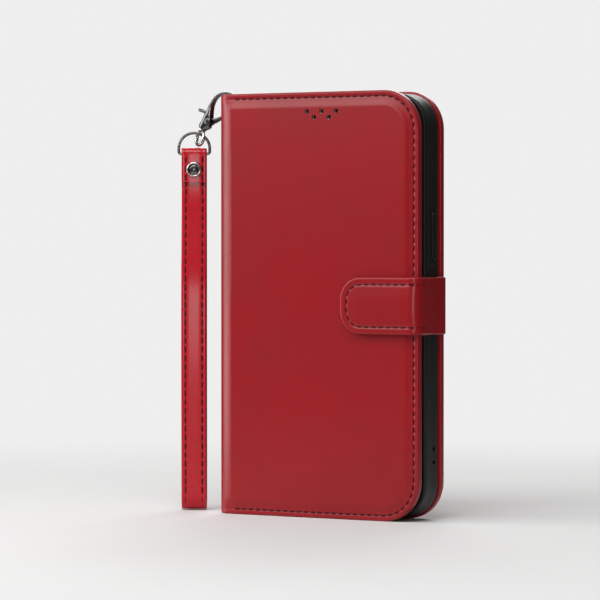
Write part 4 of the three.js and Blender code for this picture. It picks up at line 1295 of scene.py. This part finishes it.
# ---- phone shell --------------------------------------------------------------------------------
@dataclass
class PhoneShell:
    """The soft tray that grips the phone, with its openings and its side buttons."""

    wall: float = 1.6
    floor: float = 1.4
    lip: float = 1.0
    corner: float = 12.5
    back_round: float = 1.1
    front_round: float = 0.75

    def build(self) -> None:
        """The tray and three buttons."""
        low, high = box_mm("phone_shell")
        back, front = high[1], low[1]
        middle = (high[0] - low[0]) / 2
        b, f = self.back_round, self.front_round
        profile = [(middle, back), (middle * 0.4, back), (3.0, back)]
        for angle in (90, 67, 45, 22, 0):
            a = math.radians(angle)
            profile.append((b * (1 - math.cos(a)), back - b * (1 - math.sin(a))))
        profile += [(0.0, back - 3.0), (0.12, back - 4.2), (0.12, front + 3.4), (0.0, front + 2.4)]
        for angle in (0, 25, 50, 70, 90):
            a = math.radians(angle)
            profile.append((f * (1 - math.cos(a)), front + f * (1 - math.sin(a))))
        over = self.wall + self.lip
        profile += [(over - 0.5, front + 0.02), (over - 0.1, front + 0.25), (over, front + 0.5),
                    (over - 0.1, front + 0.8), (self.wall + 0.2, front + 1.0),
                    (self.wall, front + 1.4), (self.wall, back - self.floor - 0.5),
                    (self.wall + 0.5, back - self.floor), (middle, back - self.floor)]
        tray = rounded_plate("soft_tray", low[[0, 2]], high[[0, 2]], (self.corner, self.corner),
                             profile, corner=18, run=20, side=36)
        punch(tray, self.cutters(low, high), 35)
        stand_in(tray, "root", TPU, "shell_tpu", "phone_shell")
        for body in ("power_button", "volume_up", "volume_down"):
            self.button(body)

    def cutters(self, low: Array, high: Array) -> list[bpy.types.Object]:
        """Shapes of the camera window, ports, lanyard holes and button slots."""
        cx = (low[0] + high[0]) / 2
        y = high[1] - self.floor - (high[1] - low[1] - self.floor - 0.9) / 2
        z0, z1 = low[2] - 1, low[2] + self.wall + 0.5
        upright = (0, 2, 1)
        tools = [prism("w", WINDOW_LOW, WINDOW_HIGH, WINDOW_CORNER,
                       high[1] + 1, high[1] - 1.9)]
        tools.append(prism("p", (cx - 6.5, y - 2.5), (cx + 6.5, y + 2.5), 2.4, z0, z1, upright))
        for side in (-21, 21):
            tools.append(prism("s", (cx + side - 7, y - 1), (cx + side + 7, y + 1), 0.95,
                               z0, z1, upright))
        for z in (22.8, 28.0):
            profile = [(0, -2), (0.85, -2), (0.85, 3), (0, 3)]
            tools.append(lathe("l", profile, (high[0], high[1] - 3.5, z), (1, 0, 0), 20))
        for node in ("power_button", "volume_up_button", "volume_down_button"):
            a, b = box_mm(node)
            inner, outer = (high[0] - 2.5, high[0] + 1) if a[0] > 0 else (low[0] + 2.5, low[0] - 1)
            tools.append(prism("b", (a[1] - 0.25, a[2] - 0.25), (b[1] + 0.25, b[2] + 0.25), 1.9,
                               inner, outer, (1, 0, 2)))
        return tools

    def button(self, body: str) -> None:
        """A button cap with a domed face."""
        node = body if body == "power_button" else body + "_button"
        low, high = box_mm(node)
        side = 1 if low[0] > 0 else -1
        outer, inner = (high[0], low[0]) if side > 0 else (low[0], high[0])
        r = (high[1] - low[1]) / 2
        profile = [(r, inner), (0, inner), (0, outer - side * 0.5), (0.12, outer - side * 0.22),
                   (0.45, outer - side * 0.06), (0.9, outer), (r, outer + side * 0.04)]
        cap = rounded_plate(node + "_cap", low[[1, 2]], high[[1, 2]], (r, r), profile,
                            order=(1, 0, 2), corner=10, run=4, side=12)
        stand_in(cap, body, TPU, "shell_tpu", node)


# ---- clasp and swivel ---------------------------------------------------------------------------
@dataclass
class Clasp:
    """Lobster clasp: hooked body, sprung lever on a pin, swivel rivet and eye."""

    lean_deg: float = 20.0
    eye_radius: float = 2.9
    eye_wire: float = 0.55
    eye_turn_deg: float = -30.0
    slot: float = 2.7

    def sizes(self) -> None:
        """Reads the strand, pivot and base that the clasp is hung on."""
        self.strand = joint("clasp_swing")[0]
        self.pivot = joint("gate_swing")[0]
        self.base = joint("swivel_spin")[0]
        lean = math.radians(self.lean_deg)
        self.up = np.array([math.sin(lean), 0, math.cos(lean)])
        self.across = np.array([math.cos(lean), 0, -math.sin(lean)])

    def at(self, points: Sequence[Sequence[float]]) -> Array:
        """Points of the clasp's own X and Z in the case's frame."""
        p = np.asarray(points, float)
        return self.strand + np.stack([p[:, 0], np.zeros(len(p)), p[:, 1]], -1)

    def body(self) -> None:
        """Hooked body: an oval section whose width and depth change along a curved middle line."""
        knots = [(-11.1, -12.2, 1.75, 1.75), (-10.5, -11.2, 2.3, 1.85), (-8.8, -9.3, 3.0, 1.9),
                 (-8.05, -6.5, 2.0, 1.9), (-6.75, -2.9, 1.15, 1.45), (-4.85, 0.05, 0.86, 1.2),
                 (-2.4, 1.62, 0.62, 1.15), (0, 2.15, 0.52, 1.1), (2.0, 1.82, 0.56, 1.1),
                 (3.6, 0.75, 0.62, 1.15), (4.35, -1.05, 0.63, 1.15), (4.3, -3.2, 0.55, 0.95)]
        curve = catmull(knots, 10)
        half, depth = curve[:, 2], curve[:, 3]
        tip = np.array([1.0, 0.9, 0.6])
        half = np.concatenate([[1.35, 1.65], half[1:], half[-1] * tip[1:]])
        depth = np.concatenate([[1.35, 1.65], depth[1:], depth[-1] * tip[1:]])
        path = self.at(curve[:, :2])
        first = path[0] + (path[0] - path[1]) / np.linalg.norm(path[0] - path[1]) * 0.15
        last = path[-1] + np.array([[0, 0, -0.25], [0, 0, -0.4]])
        path = np.vstack([first, path, last])
        body = tube("clasp_hook", path, half, 28, flat=depth / half)
        punch(body, self.slots(), 45)
        stand_in(body, "clasp", NICKEL, "dark_nickel", "clasp_body")

    def slots(self) -> list[bpy.types.Object]:
        """Cutters for the lever's slot and for the swivel rivet."""
        fan = np.array([(-3, -7.4), (-6.6, -7.2), (-7.0, -3.7), (-15, -2.2), (-15, -8.4),
                        (-9.5, -10.0), (-7.8, -11.3), (-3, -12.4)])
        flat = self.at(fan)
        half = self.slot / 2
        sides = [flat + [0, y, 0] for y in (-half, half)]
        middle = flat.mean(0)
        rows = [np.tile(middle + [0, -half, 0], (8, 1)), *sides,
                np.tile(middle + [0, half, 0], (8, 1))]
        fan_tool = Surface().grid(np.array(rows), close_cols=True).build("fan")
        room = [(0, 1.0), (1.35, 1.0), (1.35, 2.6), (0, 2.6)]
        shank = [(0, -2.5), (0.75, -2.5), (0.75, 2.0), (0, 2.0)]
        return [fan_tool, lathe("room", room, self.base, self.up, 24),
                lathe("shank", shank, self.base, self.up, 24)]

    def build(self) -> None:
        """Every piece of the clasp."""
        self.sizes()
        self.body()
        low, high = box_mm("clasp_pin")
        reach = (high[1] - low[1]) / 2
        head = [(0, -reach), (0.55, -reach), (0.7, -reach + 0.16), (0.85, -reach + 0.16),
                (1.0, -reach), (1.3, -reach + 0.08), (1.4, -reach + 0.3), (1.38, -reach + 0.55),
                (0.5, -reach + 0.6)]
        profile = head + [(r, -h) for r, h in head[::-1]]
        pin = lathe("lever_pin", profile, ((low + high) / 2), (0, 1, 0), 32)
        stand_in(pin, "clasp", NICKEL, "dark_nickel", "clasp_pin")
        self.spring()
        lever = bevelled_copy("gate_lever", "thumb_lever", 0.16)
        stand_in(lever, "gate", NICKEL, "dark_nickel", "gate_lever")
        self.swivel()

    def spring(self) -> None:
        """Small coil round the pin: a helix of one and a half turns."""
        low, high = box_mm("gate_spring")
        angle = np.linspace(0, 3 * np.pi, 60)
        y = np.linspace(low[1] + 0.13, high[1] - 0.13, 60)
        path = np.stack([self.pivot[0] + np.cos(angle), y, self.pivot[2] + np.sin(angle)], -1)
        stand_in(tube("lever_spring", path, 0.13, 10), "clasp", STEEL, "steel", "gate_spring")

    def swivel(self) -> None:
        """Rivet through the base, and the eye that turns on it."""
        rivet = [(0, -1.15), (0.5, -1.15), (0.6, -1.0), (0.6, 1.3), (1.1, 1.3), (1.08, 1.6),
                 (0.85, 1.85), (0, 1.92)]
        pin = lathe("swivel_pin", rivet, self.base, self.up, 32)
        stand_in(pin, "swivel", NICKEL, "dark_nickel", "swivel_rivet")
        turn = math.radians(self.eye_turn_deg)
        local = np.array([math.cos(turn), math.sin(turn), 0])
        side = local[0] * self.across + local[1] * np.array([0, 1.0, 0])
        centre = self.base - self.up * (0.3 + self.eye_radius + self.eye_wire)
        angle = np.linspace(0, 2 * np.pi, 64, endpoint=False)[:, None]
        path = centre + self.eye_radius * (np.cos(angle) * side + np.sin(angle) * self.up)
        normal = np.cross(side, self.up)
        height = np.sin(angle[:, 0])
        wire = self.eye_wire * (1 + 0.45 * (1 - smooth_step(height, 0.0, 0.7))
                                + 0.2 * np.clip(height, 0, 1) ** 3)
        eye = tube("eye_ring", path, wire, 18, closed=True, across=normal)
        # The eye is dark nickel; its lighter colour is a painted highlight.
        stand_in(eye, "swivel", NICKEL_PAINTED_HIGHLIGHT, "dark_nickel", "swivel_eye")
        collar = [(0.75, -0.32), (1.42, -0.32), (1.52, -0.42), (1.5, -0.68), (1.25, -0.95),
                  (1.0, -1.15), (0.6, -1.2), (0.7, -1.0), (0.75, -0.9)]
        seat = lathe("eye_collar", collar + collar[:1], self.base, self.up, 40)
        # Collar in the lighter nickel: a painted highlight.
        stand_in(seat, "swivel", NICKEL_PAINTED_HIGHLIGHT, "dark_nickel")


# ---- wrist strap --------------------------------------------------------------------------------
@dataclass
class WristStrap:
    """Folded leather strap on a D ring, closed with a domed rivet, and its cord loop."""

    width: float = 10.2
    thickness: float = 1.5
    opening: float = 8.0
    layer_gap: float = 0.2
    fold_length: float = 11.5
    close_length: float = 45.0
    ease: float = 16.0
    floor_gap: float = 0.3
    ring_offset: float = 2.8
    ring_radius: float = 6.3
    ring_wire: float = 0.575
    ring_corner: float = 1.0
    rivet_drop: float = 6.4
    seam_inset: float = 1.7
    pitch: float = 3.56
    cord: float = 0.8
    bow: float = 2.4

    def sizes(self) -> None:
        """Reads the link and the bar that the strap hangs on, and its turn."""
        self.link = joint("ring_swing")[0]
        self.bar, self.side = joint("strap_swing")
        self.out = np.array([-self.side[1], self.side[0], 0])

    def place(self, x: Array, y: Array, z: Array) -> Array:
        """Points of the strap's own frame, across, outwards and up, in the case's frame."""
        x, y, z = np.broadcast_arrays(*(np.asarray(v, float) for v in (x, y, z)))
        origin = np.array([self.link[0], self.link[1], 0])
        across = (x + self.ring_offset)[..., None] * self.side
        at_bar = origin - self.ring_offset * self.side
        return at_bar + across + y[..., None] * self.out + z[..., None] * np.array([0, 0, 1.0])

    def line(self) -> Array:
        """Middle line in outward distance and height: over the bar, down, round and up again."""
        r = self.thickness + self.layer_gap
        leg = self.opening / 2 + self.thickness / 2
        bar = self.bar[2]
        fold, spread = bar - self.fold_length, bar - self.fold_length - self.close_length
        bottom = self.floor_gap + self.thickness / 2 + leg

        def curve(a: Sequence[float], b: Sequence[float], c: Sequence[float],
                  d: Sequence[float]) -> Array:
            """Cubic Bezier curve."""
            t = np.linspace(0, 1, 26)[:, None]
            a, b, c, d = (np.array(p, float) for p in (a, b, c, d))
            return a * (1 - t)**3 + 3 * b * t * (1 - t)**2 + 3 * c * t * t * (1 - t) + d * t**3

        def run(y: float, z0: float, z1: float, count: int) -> Array:
            """Upright straight run."""
            return np.stack([np.full(count, y), np.linspace(z0, z1, count)], -1)

        parts = [run(-r, fold, bar, 12), arc(0, bar, r, 180, 0, 20), run(r, bar, fold, 12),
                 curve((r, fold), (r, fold - self.ease), (leg, spread + self.ease), (leg, spread)),
                 run(leg, spread, bottom, 60), arc(0, bottom, leg, 0, -180, 28),
                 run(-leg, bottom, spread, 60),
                 curve((-leg, spread), (-leg, spread + self.ease), (0, fold - self.ease),
                       (0, fold - 1)),
                 run(0, fold - 1, bar - 3, 10)]
        path = np.vstack(parts)
        keep = np.concatenate([[True], np.linalg.norm(np.diff(path, axis=0), axis=1) > 1e-3])
        path = path[keep]
        path[:, 0] -= self.bow * np.sin(np.pi * np.clip(path[:, 1] / fold, 0, 1)) ** 1.5
        return path

    def band(self) -> None:
        """The strap: two bonded layers, a section with a notched edge carried along the line."""
        line = self.line()
        t = directions(line)
        normal = np.stack([t[:, 1], -t[:, 0]], -1)
        w, h = self.width / 2, self.thickness / 2
        seam = w - self.seam_inset
        half = [(w - 0.1, 0), (w, 0.12), (w, h - 0.3), (w - 0.1, h - 0.1), (w - 0.32, h),
                (seam + 0.6, h + 0.02), (seam + 0.25, h - 0.05), (seam, h - 0.1),
                (seam - 0.25, h - 0.05), (seam - 0.6, h + 0.02), (w * 0.3, h + 0.04)]
        left = [(-x, y) for x, y in half[::-1]]
        lower = [(x, -y) for x, y in left[::-1][1:] + half[::-1][:-1]]
        section = np.array(half + left + lower)
        x = np.broadcast_to(section[:, 0], (len(line), len(section)))
        y = line[:, :1] + normal[:, :1] * section[:, 1]
        z = line[:, 1:] + normal[:, 1:] * section[:, 1]
        points = self.place(x - self.ring_offset, y, z)
        ends = [np.broadcast_to(points[k].mean(0), points[k].shape)[None] for k in (0, -1)]
        grid = np.concatenate([ends[0], points, ends[1]])
        strap = Surface().grid(grid, close_cols=True).build("strap_leather_band", sharp=55)
        stand_in(strap, "strap", STRAP_LEATHER, "strap_leather", "strap_band")
        self.stitches(line)

    def stitches(self, line: Array) -> None:
        """Two lines of stitches on each face of the strap."""
        points = resample(line, self.pitch)
        direction = directions(points)
        normal = np.stack([direction[:, 1], -direction[:, 0]], -1)
        surface = Surface()
        for side in (-1, 1):
            for face in (-1, 1):
                x = side * (self.width / 2 - self.seam_inset) - self.ring_offset
                edge = points + normal * face * (self.thickness / 2 - 0.04)
                a, b = edge[:-1], edge[1:]
                gap = (b - a) * 0.1
                a, b = a + gap, b - gap
                first = self.place(x, a[:, 0], a[:, 1])
                last = self.place(x, b[:, 0], b[:, 1])
                n = (normal[:-1] + normal[1:]) / 2 * face
                out = n[:, :1] * self.out + n[:, 1:] * np.array([0, 0, 1.0])
                stitch_row(surface, first, last, out, 0.6, 0.24)
        stand_in(surface.build("strap_stitches", weld=0), "strap", THREAD, "thread")

    def ring(self) -> None:
        """D ring: a wire carried round half a circle, two corners and a straight bar."""
        r, corner = self.ring_radius, self.ring_corner
        bar = self.bar[2]
        centre = bar + 2.15
        half = r - corner
        parts = [arc(0, centre, r, 0, 180, 48), arc(-half, bar + corner, corner, 180, 270, 8),
                 np.stack([np.linspace(-half, half, 14)[1:-1], np.full(12, bar)], -1),
                 arc(half, bar + corner, corner, 270, 360, 8)]
        flat = np.vstack(parts)
        path = self.place(flat[:, 0] - self.ring_offset, np.zeros(len(flat)), flat[:, 1])
        wire = tube("dee_ring", path, self.ring_wire, 20, closed=True, across=self.out)
        stand_in(wire, "ring", NICKEL, "dark_nickel", "d_ring")

    def rivet(self) -> None:
        """Domed cap in front and flanged post behind."""
        z = self.bar[2] - self.rivet_drop
        layers = self.thickness * 1.5 + self.layer_gap
        front = self.place(-self.ring_offset, -(layers + 0.02), z)
        dome = [(0, -0.4), (2.0, -0.4), (2.05, 0.5), (1.9, 0.75), (1.5, 0.98), (0.8, 1.15),
                (0, 1.2)]
        cap = lathe("rivet_dome", dome, front, -self.out, 56)
        stand_in(cap, "strap", NICKEL, "dark_nickel", "rivet_cap")
        rolled = [(2.0, -0.3), (2.75, -0.35), (3.05, -0.1), (3.15, 0.3), (3.08, 0.75), (2.85, 1.05),
                  (2.55, 1.12), (2.3, 0.98), (2.12, 0.6), (2.0, 0.2), (2.0, -0.3)]
        rim = lathe("rivet_rim", rolled, front, -self.out, 56)
        # Rolled rim in the lighter nickel: a painted highlight.
        stand_in(rim, "strap", NICKEL_PAINTED_HIGHLIGHT, "dark_nickel")
        rear = self.place(-self.ring_offset, layers + 0.02, z)
        profile = [(0, -3.6), (1.2, -3.6), (1.2, 0.0), (2.7, 0.0), (2.9, 0.3), (2.85, 0.7),
                   (2.5, 0.95), (1.2, 1.0), (0.9, 0.8), (0, 0.75)]
        post = lathe("rivet_flange", profile, rear, self.out, 48)
        stand_in(post, "strap", NICKEL, "dark_nickel", "rivet_post")

    def loop(self) -> None:
        """Short loop of round cord on the spine that the clasp hooks into."""
        strand = joint("clasp_swing")[0]
        face = box_mm("spine_leather")[0][0] + 0.4
        half, rise, share = 2.6, 1.6, 0.45
        bend_x, bend_z = strand[0] + 5.5 * share, strand[2] - rise * 0.25
        route = [(face, -half, strand[2] - rise), (bend_x, -half, bend_z),
                 (strand[0], -half * share, strand[2]), (strand[0], half * share, strand[2]),
                 (bend_x, half, bend_z), (face, half, strand[2] - rise)]
        path = catmull([(x, strand[1] + y, z) for x, y, z in route], 12)
        cord = tube("cord_loop", path, self.cord, 14, across=(0, 0, 1))
        stand_in(cord, "spine", STRAP_LEATHER, "cover_leather", "strap_loop")

    def build(self) -> None:
        """Every piece of the strap."""
        self.sizes()
        self.band()
        self.ring()
        self.rivet()
        self.loop()


# ---- studio -------------------------------------------------------------------------------------
@dataclass
class StudioSet:
    """Floor, soft lights, world and camera."""

    eye: tuple[float, float, float] = (671.1, -1136.5, 107.75)
    turn_deg: float = 31.3
    pitch_deg: float = -0.955
    lens: float = 198.6
    side_light: float = 0.05
    over_light: float = 0.3
    backdrop: float = 0.86
    floor_reach: float = 6000
    floor_sides: int = 64

    def floor(self) -> None:
        """Round floor with a little paper tone."""
        radius = np.concatenate([[0], np.geomspace(40, self.floor_reach, 24)])[:, None]
        angle = np.linspace(0, 2 * np.pi, self.floor_sides, endpoint=False)
        grid = np.stack([radius * np.cos(angle), radius * np.sin(angle),
                         np.full((len(radius), self.floor_sides), -0.02)], -1)
        floor = Surface().grid(grid, close_cols=True).build("floor", outward=False)
        if floor.data.polygons[200].normal.z < 0:
            floor.data.flip_normals()
        dress(floor, PAPER)
        floor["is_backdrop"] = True

    def lamp(self, name: str, place: Sequence[float], aim: Sequence[float],
             size: tuple[float, float], watts: float) -> None:
        """Rectangular soft light at a place in metres, aimed at a point."""
        data = bpy.data.lights.new(name, "AREA")
        data.shape = "RECTANGLE"
        data.size, data.size_y = size
        data.energy = watts
        lamp = bpy.data.objects.new(name, data)
        bpy.context.scene.collection.objects.link(lamp)
        lamp.location = place
        lamp.rotation_euler = (Vector(aim) - Vector(place)).to_track_quat("-Z", "Y").to_euler()

    def sky(self) -> None:
        """Pale surround, softly brighter overhead than at the sides for what it lights."""
        world = bpy.data.worlds.new("studio")
        bpy.context.scene.world = world
        world.use_nodes = True
        tree = world.node_tree
        place = tree.nodes.new("ShaderNodeTexCoord")
        split = tree.nodes.new("ShaderNodeSeparateXYZ")
        tree.links.new(place.outputs["Generated"], split.inputs[0])
        ramp = tree.nodes.new("ShaderNodeMapRange")
        ramp.interpolation_type = "SMOOTHSTEP"
        for key, value in (("From Min", -0.2), ("From Max", 0.9), ("To Min", self.side_light),
                           ("To Max", self.over_light)):
            ramp.inputs[key].default_value = value
        tree.links.new(split.outputs["Z"], ramp.inputs["Value"])
        path = tree.nodes.new("ShaderNodeLightPath")
        pick = tree.nodes.new("ShaderNodeMix")
        pick.inputs[3].default_value = self.backdrop
        tree.links.new(path.outputs["Is Camera Ray"], pick.inputs[0])
        tree.links.new(ramp.outputs[0], pick.inputs[2])
        background = tree.nodes["Background"]
        background.inputs["Color"].default_value = (1, 1, 1, 1)
        tree.links.new(pick.outputs[0], background.inputs["Strength"])

    def build(self) -> None:
        """The whole set."""
        self.floor()
        for row in (("key", (-0.34, -0.56, 0.46), (0, 0, 0.14), (0.4, 0.4), 2.1),
                    ("top", (0.2, -0.75, 1.15), (0, 0, 0.08), (0.8, 0.6), 9.5),
                    ("edge", (-1.13, -0.47, 0.22), (-0.04, 0, 0.09), (0.45, 1.2), 9.0),
                    ("front", (0.53, -1.05, 0.143), (-0.06, 0, 0.09), (0.12, 0.16), 1.3),
                    ("rear", (-0.5, 1.1, 0.9), (0, 0, 0.09), (0.8, 0.8), 8)):
            self.lamp(*row)
        self.sky()
        bpy.context.scene.view_settings.view_transform = "Standard"
        data = bpy.data.cameras.new("camera")
        data.lens, data.sensor_width = self.lens, 36
        data.clip_start, data.clip_end = 0.05, 30
        camera = bpy.data.objects.new("camera", data)
        bpy.context.scene.collection.objects.link(camera)
        camera.location = Vector(self.eye) * MM
        camera.rotation_euler = (math.radians(90 + self.pitch_deg), 0, math.radians(self.turn_deg))
        bpy.context.scene.camera = camera


def main() -> None:
    """Builds every sub-assembly in order."""
    logging.basicConfig(level=logging.INFO, format="%(message)s")
    for part in (StudioSet(), Covers(), ClosingTab(), PhoneShell(), Clasp(), WristStrap()):
        part.build()
        LOG.info("built %s", type(part).__name__)
    cad, visual = CAD_BOUNDS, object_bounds()
    {"cad": plain(cad), "visual": plain(visual)}


def plain(bounds: object) -> object:
    """Bounds as plain lists of numbers."""
    if hasattr(bounds, "__len__"):
        return [plain(b) for b in bounds]
    return float(bounds)


if __name__ == "__main__":
    main()
